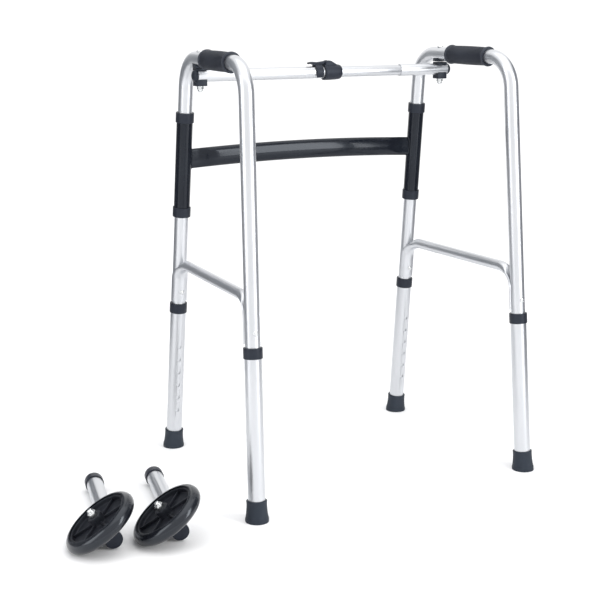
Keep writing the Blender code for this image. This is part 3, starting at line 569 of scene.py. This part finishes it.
# %% Ring repeater
def repeater(name, along_axis=True):
    """A node tree that repeats a mesh: along local Z at a pitch, or around local Z at even turns."""
    tree = bpy.data.node_groups.new(name, "GeometryNodeTree")
    face = tree.interface
    face.new_socket("Geometry", in_out="INPUT", socket_type="NodeSocketGeometry")
    face.new_socket("Count", in_out="INPUT", socket_type="NodeSocketInt")
    face.new_socket("Step", in_out="INPUT", socket_type="NodeSocketFloat")
    face.new_socket("Material", in_out="INPUT", socket_type="NodeSocketMaterial")
    face.new_socket("Geometry", in_out="OUTPUT", socket_type="NodeSocketGeometry")
    nodes, links = tree.nodes, tree.links
    source = nodes.new("NodeGroupInput")
    result = nodes.new("NodeGroupOutput")
    line = nodes.new("GeometryNodeMeshLine")
    links.new(source.outputs["Count"], line.inputs["Count"])
    vector = nodes.new("ShaderNodeCombineXYZ")
    copies = nodes.new("GeometryNodeInstanceOnPoints")
    if along_axis:
        links.new(source.outputs["Step"], vector.inputs["Z"])
        links.new(vector.outputs[0], line.inputs["Offset"])
    else:
        line.inputs["Offset"].default_value = (0.0, 0.0, 0.0)
        number = nodes.new("GeometryNodeInputIndex")
        turn = nodes.new("ShaderNodeMath")
        turn.operation = "MULTIPLY"
        links.new(number.outputs[0], turn.inputs[0])
        links.new(source.outputs["Step"], turn.inputs[1])
        links.new(turn.outputs[0], vector.inputs["Z"])
        links.new(vector.outputs[0], copies.inputs["Rotation"])
    links.new(line.outputs[0], copies.inputs["Points"])
    links.new(source.outputs["Geometry"], copies.inputs["Instance"])
    real = nodes.new("GeometryNodeRealizeInstances")
    links.new(copies.outputs[0], real.inputs[0])
    paint = nodes.new("GeometryNodeSetMaterial")
    links.new(real.outputs[0], paint.inputs["Geometry"])
    links.new(source.outputs["Material"], paint.inputs["Material"])
    links.new(paint.outputs[0], result.inputs[0])
    return tree


ALONG = repeater("repeat along")
AROUND = repeater("repeat around", False)


def repeated(mesh, tree, count, step, material):
    """The mesh of several copies."""
    part = spare(mesh)
    change = part.modifiers.new("repeat", "NODES")
    change.node_group = tree
    sockets = {item.name: item.identifier for item in tree.interface.items_tree if item.in_out == "INPUT"}
    change[sockets["Count"]] = count
    change[sockets["Step"]] = step
    change[sockets["Material"]] = material
    bpy.context.view_layer.update()
    graph = bpy.context.evaluated_depsgraph_get()
    out = bpy.data.meshes.new_from_object(part.evaluated_get(graph))
    bpy.data.objects.remove(part, do_unlink=True)
    return out


# %% Grips
for side in (LEFT, RIGHT):
    mark = SIDES[side > 0]
    middle = on_side(side, -0.0305, TOP)
    half = 0.0560
    bore = TUBE_R + 0.0001
    body = [(bore, half), (0.0166, half), (0.0176, half - 0.0012), (0.0176, half - 0.0028),
            (0.0160, half - 0.0044),
            (0.0158, half - 0.0052)]
    for step in range(1, 12):
        share = step / 12
        body.append((0.0155 + 0.0009 * math.sin(math.pi * share), (half - 0.0052) * (1 - 2 * share)))
    body += [(0.0158, -half + 0.0052), (0.0160, -half + 0.0044), (0.0176, -half + 0.0028),
             (0.0176, -half + 0.0012), (0.0166, -half), (bore, -half)]
    sleeve = turned(round_edge(body, 0.0008, 3), 72)
    place = aim(middle, handle_way(side), (1.0, 0.0, 0.0))
    piece(f"{mark}_grip_look", sleeve, f"{mark}_frame", GRIP, [f"{mark}_grip"], place)
    pitch, count = 0.0021, 48
    ring = turned([(0.0150, 0.0006), (0.01640, 0.0005), (0.01650, 0.0), (0.01640, -0.0005),
                   (0.0150, -0.0006)], 60)
    rings = repeated(ring, ALONG, count, pitch, GRIP)
    for vertex in rings.vertices:
        vertex.co.z -= pitch * (count - 1) / 2
        share = (vertex.co.z + half) / (2 * half)
        swell = 0.0007 * math.sin(math.pi * share) - 0.0004
        reach = math.hypot(vertex.co.x, vertex.co.y)
        vertex.co.x *= (reach + swell) / reach
        vertex.co.y *= (reach + swell) / reach
    piece(f"{mark}_grip_ribs", rings, f"{mark}_frame", GRIP, (), place)
print("grips done")

# %% [markdown]
# ## Legs
# The lower legs are a size larger and slide over the side tubes. They are drilled in a row, an inch apart,
# for the snap buttons. The drilled wall is given its true round normals so the shine runs straight past
# the holes. A lipped collar closes each tube's top, and a flared rubber tip, cut level, covers its foot.

# %% Lower legs, collars, tips and buttons
def collar_mesh(radius, low, high, step, tube_radius, lip_up=True):
    bore, wide = TUBE_R + 0.0002, tube_radius + 0.0002
    if lip_up:
        points = [(bore, high), (radius, high), (radius, low), (wide, low), (wide, step), (bore, step)]
    else:
        points = [(wide, high), (radius, high), (radius, low), (bore, low), (bore, step), (wide, step)]
    return turned(round_edge(points, 0.0011, 4), 64)


for side in (LEFT, RIGHT):
    for end in ("front", "rear"):
        mark, body = SIDES[side > 0], f"{SIDES[side > 0]}_{end}_leg"
        place = leg_place(side, end)
        mesh = tube(LOWER_R, TUBE_R + GAP, 0.0105, along(side, end, 0.282), 0.0004, 72)
        first = along(side, end, 0.079)
        drills = [rod(0.0036, 0.012, Matrix.Translation((0.0, 0.0145, first + 0.0254 * k))
                      @ Matrix.Rotation(math.pi / 2, 4, "X"), 28) for k in range(6)]
        mesh = combined(mesh, drills)
        keep_own(mesh)
        radial(mesh, Matrix.Identity(4))
        mesh.transform(place)
        leg = piece(f"{mark}_{end}_leg_tube_look", mesh, body, ALUMINIUM,
                    [f"{mark}_{end}_leg_tube"], sharp=60.0)
        low, high, step = (along(side, end, z) for z in (0.2705, 0.2885, 0.2823))
        piece(f"{mark}_{end}_leg_collar_look", collar_mesh(0.0160, low, high, step, LOWER_R), body, PLASTIC,
              [f"{mark}_{end}_leg_collar"], place)
        tip = [(LOWER_R + 0.0002, 0.0355), (0.0163, 0.0355), (0.0172, 0.0349), (0.0174, 0.0336),
               (0.0171, 0.0324),
               (0.0171, 0.0260), (0.0175, 0.0190), (0.0182, 0.0120), (0.0189, 0.0078), (0.0190, 0.0066),
               (0.0195, 0.0060), (0.0197, 0.0045), (0.0196, -0.0060), (0.0, -0.0060), (0.0, 0.0100),
               (LOWER_R + 0.0002, 0.0100)]
        mesh = turned(tip, 72)
        keep_own(mesh)
        mesh.transform(place)
        work = bmesh.new()
        work.from_mesh(mesh)
        everything = list(work.verts) + list(work.edges) + list(work.faces)
        sliced = bmesh.ops.bisect_plane(work, geom=everything, plane_co=(0.0, 0.0, 0.0),
                                        plane_no=(0.0, 0.0, 1.0),
                                        clear_inner=True)
        rim = [item for item in sliced["geom_cut"] if isinstance(item, bmesh.types.BMEdge)]
        bmesh.ops.contextual_create(work, geom=rim)
        bmesh.ops.recalc_face_normals(work, faces=work.faces)
        work.to_mesh(mesh)
        work.free()
        piece(f"{mark}_{end}_foot_look", mesh, body, RUBBER, [f"{mark}_{end}_foot"])
        face = place @ Matrix.Translation((0.0, 0.0, first)) @ Matrix.Rotation(-math.pi / 2, 4, "X")
        dome = [(0.0, 0.01262), (0.0012, 0.01256), (0.0024, 0.0121), (0.0031, 0.0113), (0.0032, 0.0106),
                (0.0032, 0.0082), (0.0, 0.0082)]
        button = combined(turned(dome, 32), [solid_block((0.0075, 0.030, 0.0006), (0.0, -0.009, 0.0086))],
                          "UNION")
        piece(f"{mark}_{end}_button_look", button, f"{mark}_{end}_button", ZINC,
              [f"{mark}_{end}_snap_button"], face)
print("legs done")

# %% [markdown]
# ## Front crossbar
# The crossbar is a tube pressed to an upright oval and pinched flat at both ends, where it is welded to
# the two sleeves that turn on the front legs. It arches a few millimetres in the middle.
# The weld is a rippled bead laid around the pinched end, and gloss enamel covers all of it.

# %% Crossbar
def crossbar_rings(inset, count=40, stations=72):
    left, right = on_leg(LEFT, "front", 0.5565), on_leg(RIGHT, "front", 0.5565)
    whole = (right - left).length
    rings = []
    for i in range(stations + 1):
        warp = 0.5 - 0.5 * math.cos(math.pi * i / stations)
        station = inset + (whole - 2 * inset) * warp
        share = station / whole
        centre = left.lerp(right, share)
        centre.z += 0.0068 * 4 * share * (1 - share)
        slope = 0.0068 * 4 * (1 - 2 * share) / whole
        run = Vector((1.0, 0.0, slope)).normalized()
        across = Vector((0.0, 0.0, 1.0)).cross(run).normalized()
        up = run.cross(across).normalized()
        blend = min(1.0, max(0.0, (min(station, whole - station) - 0.030) / 0.030))
        deep = 0.0042 + 0.0063 * blend * blend * (3 - 2 * blend)
        ring = []
        for k in range(count):
            angle = 2 * math.pi * k / count
            reach = abs(math.cos(angle)) ** 0.8 * deep * (1 if math.cos(angle) > 0 else -1)
            ring.append(centre + across * reach + up * 0.0176 * math.sin(angle))
        rings.append(ring)
    return rings


bar = skin(crossbar_rings(0.0135))
piece("crossbar_look", bar, "front_frame", ENAMEL, ["front_crossbar"], sharp=55.0)
for side in (LEFT, RIGHT):
    mark = SIDES[side > 0]
    place = leg_place(side, "front")
    low, high = along(side, "front", 0.457), along(side, "front", 0.6365)
    sleeve = tube(0.0145, TUBE_R + GAP, low, high, 0.0004, 72)
    notch_side = Vector((side * 0.75, 0.25, 0.0))
    outward = place.inverted().to_3x3() @ notch_side.normalized()
    turn = math.atan2(outward.y, outward.x)
    slits = []
    for height in (0.479, 0.500):
        slit = solid_block((0.006, 0.0062, 0.0022), (0.0145, 0.0, 0.0))
        slit.transform(Matrix.Translation((0.0, 0.0, along(side, "front", height)))
                       @ Matrix.Rotation(turn, 4, "Z"))
        slits.append(slit)
    sleeve = combined(sleeve, slits)
    keep_own(sleeve)
    radial(sleeve, Matrix.Identity(4))
    sleeve.transform(place)
    piece(f"{mark}_sleeve_look", sleeve, "front_frame", ENAMEL, (), sharp=60.0)
    # the weld bead follows the pinched end where it meets the sleeve
    centre = on_leg(side, "front", 0.5565)
    rings = []
    steps = 90
    for i in range(steps):
        angle = 2 * math.pi * i / steps
        y = abs(math.cos(angle)) ** 0.8 * 0.0046 * (1 if math.cos(angle) > 0 else -1)
        z = 0.0180 * math.sin(angle)
        x = -side * math.sqrt(0.0146 ** 2 - y ** 2)
        spot = centre + leg_up(side, "front") * z + Vector((x, y, 0.0))
        ripple = 0.0013 * (1.0 + 0.10 * math.sin(angle * 34))
        out = Vector((0.0, math.cos(angle), math.sin(angle) * 0.8)).normalized()
        inw = Vector((-side, 0.0, 0.0))
        rings.append([spot + out * ripple * math.cos(a) + inw * ripple * math.sin(a)
                      for a in (2 * math.pi * k / 12 for k in range(12))])
    bead = skin(rings + [rings[0]], closed_ends=False)
    work = bmesh.new()
    work.from_mesh(bead)
    bmesh.ops.remove_doubles(work, verts=work.verts, dist=0.000002)
    bmesh.ops.recalc_face_normals(work, faces=work.faces)
    work.to_mesh(bead)
    work.free()
    piece(f"{mark}_weld_look", bead, "front_frame", ENAMEL, (), sharp=80.0)
    ends = {"upper": (0.6235, 0.6410, 0.6368, True), "lower": (0.4525, 0.4700, 0.4567, False)}
    for level, (bottom, top, seat, lip_up) in ends.items():
        a, b, c = (along(side, "front", z) for z in (bottom, top, seat))
        piece(f"{mark}_{level}_sleeve_collar_look", collar_mesh(0.0163, a, b, c, 0.0145, lip_up),
              "front_frame",
              PLASTIC, [f"{mark}_{level}_sleeve_collar"], place)
print("front frame done")

# %% [markdown]
# ## Top bar
# Three tubes slide in one another so that the bar can shorten as the sides fold in. A lock sits where the
# outer tube ends: a moulded collar, and a lever with a band that hugs the tube. At each side frame a long
# bolt clamps the bar between two shaped saddles, and a third one cradles it from below.

# %% Bar tubes and plugs
LEFT_R, RIGHT_R, MID_R, BORE_R = 0.0108, 0.0105, 0.00955, 0.00985


def bar_tube(name, body, radius, bore, low, high, node):
    mesh = tube(radius, bore, low, high, 0.0004, 64)
    piece(name, mesh, body, ALUMINIUM, [node], bar_place())


bar_tube("top_bar_left_look", "bar_left", LEFT_R, BORE_R, -0.2500, 0.0080, "top_bar_left_tube")
bar_tube("top_bar_middle_look", "bar_middle", MID_R, MID_R - 0.0012, -0.1150, 0.1720, "top_bar_middle_tube")
bar_tube("top_bar_right_look", "bar_right", RIGHT_R, BORE_R, 0.1540, 0.2555, "top_bar_right_tube")
for side in (LEFT, RIGHT):
    mark = SIDES[side > 0]
    radius = LEFT_R if side == LEFT else RIGHT_R
    mouth = -0.2500 if side == LEFT else 0.2555
    profile = [(0.0, 0.0087)]
    for step in range(1, 15):
        angle = math.pi / 2 * step / 14
        profile.append((radius * math.sin(angle), 0.0017 + 0.0070 * math.cos(angle)))
    profile += [(radius, 0.0002), (BORE_R - GAP, 0.0002), (BORE_R - GAP, -0.0026), (0.0, -0.0026)]
    place = aim(Vector((mouth, BAR_Y, BAR_H)) + MIDDLE, (side, 0.0, 0.0), (0.0, 0.0, 1.0))
    piece(f"{mark}_bar_plug_look", turned(profile, 56), f"bar_{mark}", PLASTIC,
          [f"{mark}_bar_plug"], place)
print("bar tubes done")

# %% Pivot saddles and bolts
SPLIT = 0.7222


def split_place(side, lift):
    normal = leg_up(side, "front") if side == LEFT else Vector((0.0, 0.0, 1.0))
    return aim(Vector((pivot_x(side), BAR_Y, SPLIT + lift)) + MIDDLE, normal)


def spot(side, z):
    return Vector((pivot_x(side), BAR_Y, z)) + MIDDLE


for side in (LEFT, RIGHT):
    mark = SIDES[side > 0]
    radius = LEFT_R if side == LEFT else RIGHT_R
    lift = 0.0004 if side == LEFT else 0.0010
    tube_line = aim(on_side(side, BAR_Y, TOP), handle_way(side), (1.0, 0.0, 0.0))
    top = solid_block((0.0206, 0.0170, 0.0140), spot(side, 0.7245))
    under = solid_block((0.06, 0.06, 0.04), (0.0, 0.0, -0.02))
    under.transform(split_place(side, lift))
    top = combined(top, [rod(TUBE_R + GAP, 0.06, tube_line, 64), under,
                         rod(0.0033, 0.04, Matrix.Translation(spot(side, 0.722)), 32)])
    piece(f"{mark}_frame_saddle_look", softened(top, 0.0006), f"{mark}_frame", PLASTIC,
          [f"{mark}_frame_saddle"])
    low = solid_block((0.0200, 0.0170, 0.0140), spot(side, 0.7192))
    above = solid_block((0.06, 0.06, 0.04), (0.0, 0.0, 0.02))
    above.transform(split_place(side, -0.0002))
    room = 0.0014 if side == LEFT else GAP
    low = combined(low, [rod(radius + room, 0.06, bar_place(pivot_x(side)), 64), above,
                         rod(0.0035, 0.04, Matrix.Translation(spot(side, 0.716)), 32)])
    body = "left_swivel" if side == LEFT else "bar_right"
    piece(f"{mark}_bar_saddle_look", softened(low, 0.0005), body, PLASTIC,
          [f"{mark}_bar_saddle"])
    cradle = solid_block((0.0190, 0.0180, 0.0117), spot(side, BAR_H - 0.01165))
    cradle = combined(cradle, [rod(radius + GAP, 0.06, bar_place(pivot_x(side)), 64),
                               rod(0.0033, 0.04, Matrix.Translation(spot(side, 0.697)), 32)])
    piece(f"{mark}_under_saddle_look", softened(cradle, 0.0007), f"bar_{mark}", PLASTIC,
          [f"{mark}_under_saddle"])
    seat = TOP + TUBE_R + 0.0001
    head = [(0.0, seat + 0.0030), (0.0020, seat + 0.0029), (0.0040, seat + 0.0022), (0.0054, seat + 0.0010),
            (0.0058, seat + 0.0002), (0.0058, seat), (0.0030, seat), (0.0030, SPLIT + 0.0010),
            (0.0, SPLIT + 0.0010)]
    bolt = turned(head, 48)
    socket = rod(0.0020, 0.0030, Matrix.Translation((0.0, 0.0, seat + 0.0030)), 6)
    bolt = combined(bolt, [socket])
    flat = Matrix.Translation(spot(side, 0.0))
    piece(f"{mark}_pivot_bolt_look", bolt, f"{mark}_frame", ZINC, [f"{mark}_pivot_bolt"], flat)
    seat = BAR_H - 0.0176
    nut = [(0.0, SPLIT - 0.0006), (0.0030, SPLIT - 0.0006), (0.0030, seat), (0.0058, seat),
           (0.0058, seat - 0.0008),
           (0.0052, seat - 0.0010), (0.0052, seat - 0.0052), (0.0045, seat - 0.0060), (0.0043, seat - 0.0078),
           (0.0034, seat - 0.0096), (0.0018, seat - 0.0106), (0.0, seat - 0.0108)]
    piece(f"{mark}_pivot_nut_look", combined(turned(nut, 40), [rod(0.0058, 0.0042, Matrix.Translation(
        (0.0, 0.0, seat - 0.0031)), 6)], "UNION"), f"bar_{mark}", ZINC, [f"{mark}_pivot_nut"], flat)
print("pivots done")

# %% Lock collar and lever
def outline_slab(outline, thickness):
    """A flat outline in local XY, extruded to both sides of its plane."""
    curve = bpy.data.curves.new("outline", "CURVE")
    curve.dimensions = "2D"
    curve.fill_mode = "BOTH"
    curve.extrude = thickness / 2
    spline = curve.splines.new("POLY")
    spline.points.add(len(outline) - 1)
    for point, (x, y) in zip(spline.points, outline):
        point.co = (x, y, 0.0, 1.0)
    spline.use_cyclic_u = True
    guide = bpy.data.objects.new("outline", curve)
    bpy.context.scene.collection.objects.link(guide)
    return settle(guide)


SIDE_VIEW = Matrix.Translation(Vector((0.0, BAR_Y, BAR_H)) + MIDDLE) @ Matrix.Rotation(math.pi / 2, 4, "X")
low, high = -0.0052, 0.0296
profile = [(MID_R + 0.0002, high), (0.0108, high), (0.0124, high - 0.0016), (0.0131, high - 0.0040),
           (0.0136, high - 0.0090), (0.0142, low + 0.0120), (0.0142, low + 0.0016), (0.0137, low),
           (LEFT_R + 0.0002, low),
           (LEFT_R + 0.0002, 0.0083), (MID_R + 0.0002, 0.0083)]
collar = turned(round_edge(profile, 0.0010, 3), 64)
collar.transform(bar_place())
ear = [(low + 0.0010, 0.0110), (-0.0014, 0.0192), (0.0008, 0.0205), (0.0042, 0.0208), (0.0080, 0.0200),
       (0.0120, 0.0178), (high - 0.0100, 0.0134), (high - 0.0120, 0.0110)]
hump = outline_slab(ear, 0.0150)
hump.transform(SIDE_VIEW)
collar = combined(collar, [softened(hump, 0.0016)], "UNION")
slot_block = solid_block((0.0190, 0.0070, 0.0200), Vector((-0.0017, BAR_Y, BAR_H + 0.0225)) + MIDDLE)
collar = combined(collar, [slot_block])
piece("clip_collar_look", collar, "bar_left", PLASTIC, ["clip_collar"], sharp=40.0)
low, high = -0.0265, -0.0095
band = tube(0.0140, LEFT_R + 0.0002, low + 0.003, high, 0.0010, 64)
band.transform(bar_place())
middle = (low + high) / 2
below = solid_block((0.05, 0.05, 0.04), Vector((middle, BAR_Y, BAR_H - 0.0290)) + MIDDLE)
cheeks = solid_block((0.05, 2 * (LEFT_R + 0.0002), 0.02), Vector((middle, BAR_Y, BAR_H - 0.0100)) + MIDDLE)
band = combined(band, [below, cheeks])
arm = [(low + 0.0030, 0.0122), (low - 0.0030, 0.0148), (low - 0.0070, 0.0152), (low - 0.0088, 0.0146),
       (low - 0.0095, 0.0152), (low - 0.0095, 0.0170), (low - 0.0080, 0.0180), (low - 0.0010, 0.0188),
       (low + 0.0100, 0.0180), (-0.0020, 0.0198), (0.0042, 0.0202), (0.0062, 0.0180), (0.0064, 0.0156),
       (0.0030, 0.0138), (high + 0.0010, 0.0134), (high - 0.0010, 0.0122)]
stem = outline_slab(arm, 0.0064)
stem.transform(SIDE_VIEW)
lever = combined(band, [softened(stem, 0.0008)], "UNION")
piece("clip_lever_look", lever, "bar_lever", PLASTIC, ["clip_lever"], sharp=40.0)
print("lock done")

# %% [markdown]
# ## Wheel units
# A wheel unit is a short leg with a wheel on its side, made to plug in instead of a front leg.
# Lying on the floor it rests on its bolt head and collar, and the wheel tips over until the tyre touches.
# The wheel is a moulded centre with ribs between hub and rim, under a smooth round tread.

# %% Wheel units
WHEEL_R, TYRE_HALF, OFFSET, LENGTH, AXLE_AT = 0.0632, 0.0115, 0.0317, 0.2693, 0.0136
TURN = math.radians(12.1)
AXLE_HEIGHT = 0.0168
UNITS = ((-0.5177, -0.2119), (-0.4136, -0.2300))


def unit_place(base):
    rise = (0.0161 - AXLE_HEIGHT) / (LENGTH - 0.0009 - AXLE_AT)
    stem = Vector((math.sin(TURN), math.cos(TURN), rise)).normalized()
    left = Vector((-math.cos(TURN), math.sin(TURN), 0.0))
    up = stem.cross(left) if stem.cross(left).z > 0 else left.cross(stem)
    core = WHEEL_R - TYRE_HALF
    slack = TYRE_HALF + 0.0002 - AXLE_HEIGHT
    tip = math.atan2(core, OFFSET) + math.asin(slack / math.hypot(core, OFFSET))
    axle = left * math.cos(tip) + up * math.sin(tip)
    place = Matrix((axle, stem.cross(axle), stem)).transposed().to_4x4()
    place.translation = Vector((base[0], base[1], AXLE_HEIGHT - AXLE_AT * rise)) + MIDDLE
    return place


def axle_place(place, x=0.0):
    return place @ Matrix.Translation((x, 0.0, AXLE_AT)) @ Matrix.Rotation(math.pi / 2, 4, "Y")


for number, base in enumerate(UNITS, 1):
    unit, wheel = f"wheel_unit_{number}", f"wheel_{number}"
    place = unit_place(base)
    mesh = tube(LOWER_R, TUBE_R + GAP, 0.0043, LENGTH - 0.0070, 0.0004, 72)
    mesh = combined(mesh, [rod(0.0043, 0.05, Matrix.Translation((0.0, 0.0, AXLE_AT))
                               @ Matrix.Rotation(math.pi / 2, 4, "Y"), 32)])
    keep_own(mesh)
    radial(mesh, Matrix.Identity(4))
    mesh.transform(place)
    piece(f"{wheel}_stem_look", mesh, unit, ALUMINIUM, [f"{wheel}_stem"], sharp=60.0)
    piece(f"{wheel}_stem_collar_look", collar_mesh(0.0160, LENGTH - 0.0180, LENGTH, LENGTH - 0.0067,
                                                   LOWER_R), unit,
          PLASTIC, [f"{wheel}_stem_collar"], place)
    bore = TUBE_R - 0.0001
    plug = [(0.0, 0.0086), (bore, 0.0086), (bore, 0.0040), (0.0146, 0.0040), (0.0146, 0.0), (0.0, 0.0)]
    piece(f"{wheel}_stem_plug_look", turned(round_edge(plug, 0.0012, 4), 64), unit, PLASTIC,
          [f"{wheel}_stem_plug"], place)
    back, nut = -(LOWER_R + 0.0003), OFFSET + 0.0155 + 0.0004
    bolt = [(0.0, nut + 0.0128), (0.0028, nut + 0.0127), (0.0037, nut + 0.0118), (0.0040, nut + 0.0100),
            (0.0040, nut + 0.0004), (0.0040, back), (0.0062, back), (0.0061, back - 0.0010),
            (0.0046, back - 0.0020),
            (0.0, back - 0.0022)]
    hexagon = softened(rod(0.0074, 0.0060, Matrix.Translation((0.0, 0.0, nut + 0.0035)), 6), 0.0006)
    ring = turned(round_edge([(0.0, nut + 0.0086), (0.0058, nut + 0.0086), (0.0060, nut + 0.0060),
                              (0.0, nut + 0.0060)],
                             0.0006, 3), 48)
    mesh = combined(turned(bolt, 48), [hexagon, ring], "UNION")
    piece(f"{wheel}_axle_bolt_look", mesh, unit, ZINC, [f"{wheel}_axle_bolt"], axle_place(place))
    hub = axle_place(place, OFFSET)
    centre = [(0.0043, 0.0155), (0.0118, 0.0155), (0.0124, 0.0060), (0.0130, 0.0018), (0.0470, 0.0018),
              (0.0478, 0.0030), (0.0484, 0.0092), (0.0520, 0.0092), (0.0520, -0.0092), (0.0484, -0.0092),
              (0.0478, -0.0030), (0.0470, -0.0018), (0.0130, -0.0018), (0.0124, -0.0060), (0.0118, -0.0155),
              (0.0043, -0.0155)]
    piece(f"{wheel}_centre_look", turned(round_edge(centre, 0.0008, 3), 96), wheel, HUB,
          [f"{wheel}_centre"], hub)
    rib = softened(solid_block((0.0365, 0.0026, 0.0124), (0.0300, 0.0, 0.0)), 0.0006)
    rib.transform(Matrix.Rotation(math.radians(15), 4, "Z"))
    ribs = repeated(rib, AROUND, 6, math.radians(60), HUB)
    piece(f"{wheel}_ribs", ribs, wheel, HUB, (), hub)
    core = WHEEL_R - TYRE_HALF
    profile = []
    for step in range(37):
        angle = math.radians(78 - 156 * step / 36)
        profile.append((core + TYRE_HALF * math.cos(angle), TYRE_HALF * math.sin(angle)))
    profile += [(0.0522, profile[-1][1]), (0.0522, profile[0][1])]
    piece(f"{wheel}_tyre_look", turned(profile, 128), wheel, TYRE, [f"{wheel}_tyre"], hub)
print("wheel units done, pieces", len(PIECES))

# %% [markdown]
# ## Studio
# The set is a white floor in a white surround, with one large soft light over the top and one from each side.
# A grey board stands on either side, out of the camera's sight and casting no shadow. The satin tubes mirror
# the boards, which gives them thin grey edges on a white ground, as felt boards do in a real studio.
# The camera stands behind the frame and to the user's left, with a longish lens.

# %% Floor, lights and camera
def white(name, colour, roughness):
    material, nodes, links, shader = shader_tree(name)
    where = nodes.new("ShaderNodeTexCoord")
    speck = noise(nodes, links, where.outputs["Object"], (1, 1, 1), 3.0, 2.0)
    level = ranged(nodes, links, speck, 0.0, 1.0)
    links.new(tinted(nodes, links, level, tuple(c * 0.995 for c in colour), colour),
              shader.inputs["Base Color"])
    shader.inputs["Roughness"].default_value = roughness
    shader.inputs["Specular IOR Level"].default_value = 0.1
    return material


CAMERA_TURN = 27.35          # degrees from +Y towards +X
CAMERA_DIP = 12.83           # degrees below level
CAMERA_AT = Vector((-1.1415, -2.0476, 0.8360))
FLOOR_REACH = 30.0
BOARD_TOP = Vector((0.0, 0.0, 1.5))
VIEW = Vector((math.sin(math.radians(CAMERA_TURN)), math.cos(math.radians(CAMERA_TURN)), 0.0))
ACROSS = Vector((VIEW.y, -VIEW.x, 0.0))
HEART = Vector((0.15, 0.02, 0.0))


def studio(ahead, aside, height=0.0):
    """A point of the studio, laid out from the walking frame: ahead is away from the camera."""
    return HEART + VIEW * ahead + ACROSS * aside + Vector((0.0, 0.0, height))


def sheet_of(name, corners, material):
    mesh = bpy.data.meshes.new(name)
    mesh.from_pydata([tuple(c) for c in corners], [], [(0, 1, 2, 3)])
    mesh.materials.append(material)
    board = bpy.data.objects.new(name, mesh)
    bpy.context.scene.collection.objects.link(board)
    board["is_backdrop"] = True
    return board


sheet_of("floor", [(-FLOOR_REACH, -FLOOR_REACH, 0), (FLOOR_REACH, -FLOOR_REACH, 0),
                   (FLOOR_REACH, FLOOR_REACH, 0), (-FLOOR_REACH, FLOOR_REACH, 0)],
         white("studio white", (0.93, 0.93, 0.935), 0.85))
felt = white("grey felt", (0.21, 0.22, 0.235), 0.9)
for aside in (-1, 1):
    near, far = studio(-0.55, 1.24 * aside), studio(0.95, 0.93 * aside)
    felt_board = sheet_of("felt left" if aside < 0 else "felt right",
                          [near, far, far + BOARD_TOP, near + BOARD_TOP], felt)
    felt_board.visible_camera = False
    felt_board.visible_shadow = False


def panel(name, at, look, size, power, colour=(1.0, 1.0, 1.0)):
    """A soft rectangular light."""
    data = bpy.data.lights.new(name, "AREA")
    data.shape = "RECTANGLE"
    data.size, data.size_y = size
    data.energy = power
    data.color = colour
    lamp = bpy.data.objects.new(name, data)
    lamp.location = at
    lamp.rotation_euler = (Vector(look) - Vector(at)).to_track_quat("-Z", "Y").to_euler()
    bpy.context.scene.collection.objects.link(lamp)
    return lamp


panel("top light", studio(-0.4, 0.0, 3.0), studio(0.0, 0.0), (3.0, 3.0), 24)
panel("right light", studio(-1.25, 1.9, 1.15), studio(0.0, 0.0, 0.5), (0.7, 2.0), 26)
panel("left light", studio(-1.3, -2.2, 1.2), studio(0.0, 0.0, 0.5), (1.2, 2.0), 17)

world = bpy.data.worlds.new("studio")
world.use_nodes = True
world.node_tree.nodes["Background"].inputs["Color"].default_value = (1.0, 1.0, 1.0, 1.0)
world.node_tree.nodes["Background"].inputs["Strength"].default_value = 1.22
bpy.context.scene.world = world

lens = bpy.data.cameras.new("camera")
lens.lens = 79.2
lens.sensor_width = 36.0
lens.clip_end = 60.0
camera = bpy.data.objects.new("camera", lens)
camera.location = CAMERA_AT + MIDDLE
camera.rotation_euler = (math.radians(90.0 - CAMERA_DIP), 0.0, math.radians(-CAMERA_TURN))
bpy.context.scene.collection.objects.link(camera)
bpy.context.scene.camera = camera
bpy.context.scene.view_settings.view_transform = "Standard"
print("camera", [round(v, 3) for v in camera.location])

# %% Sizes
size = {"cad": [list(corner) for corner in CAD_BOUNDS], "looks": [list(corner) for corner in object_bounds()]}
print("size", size)
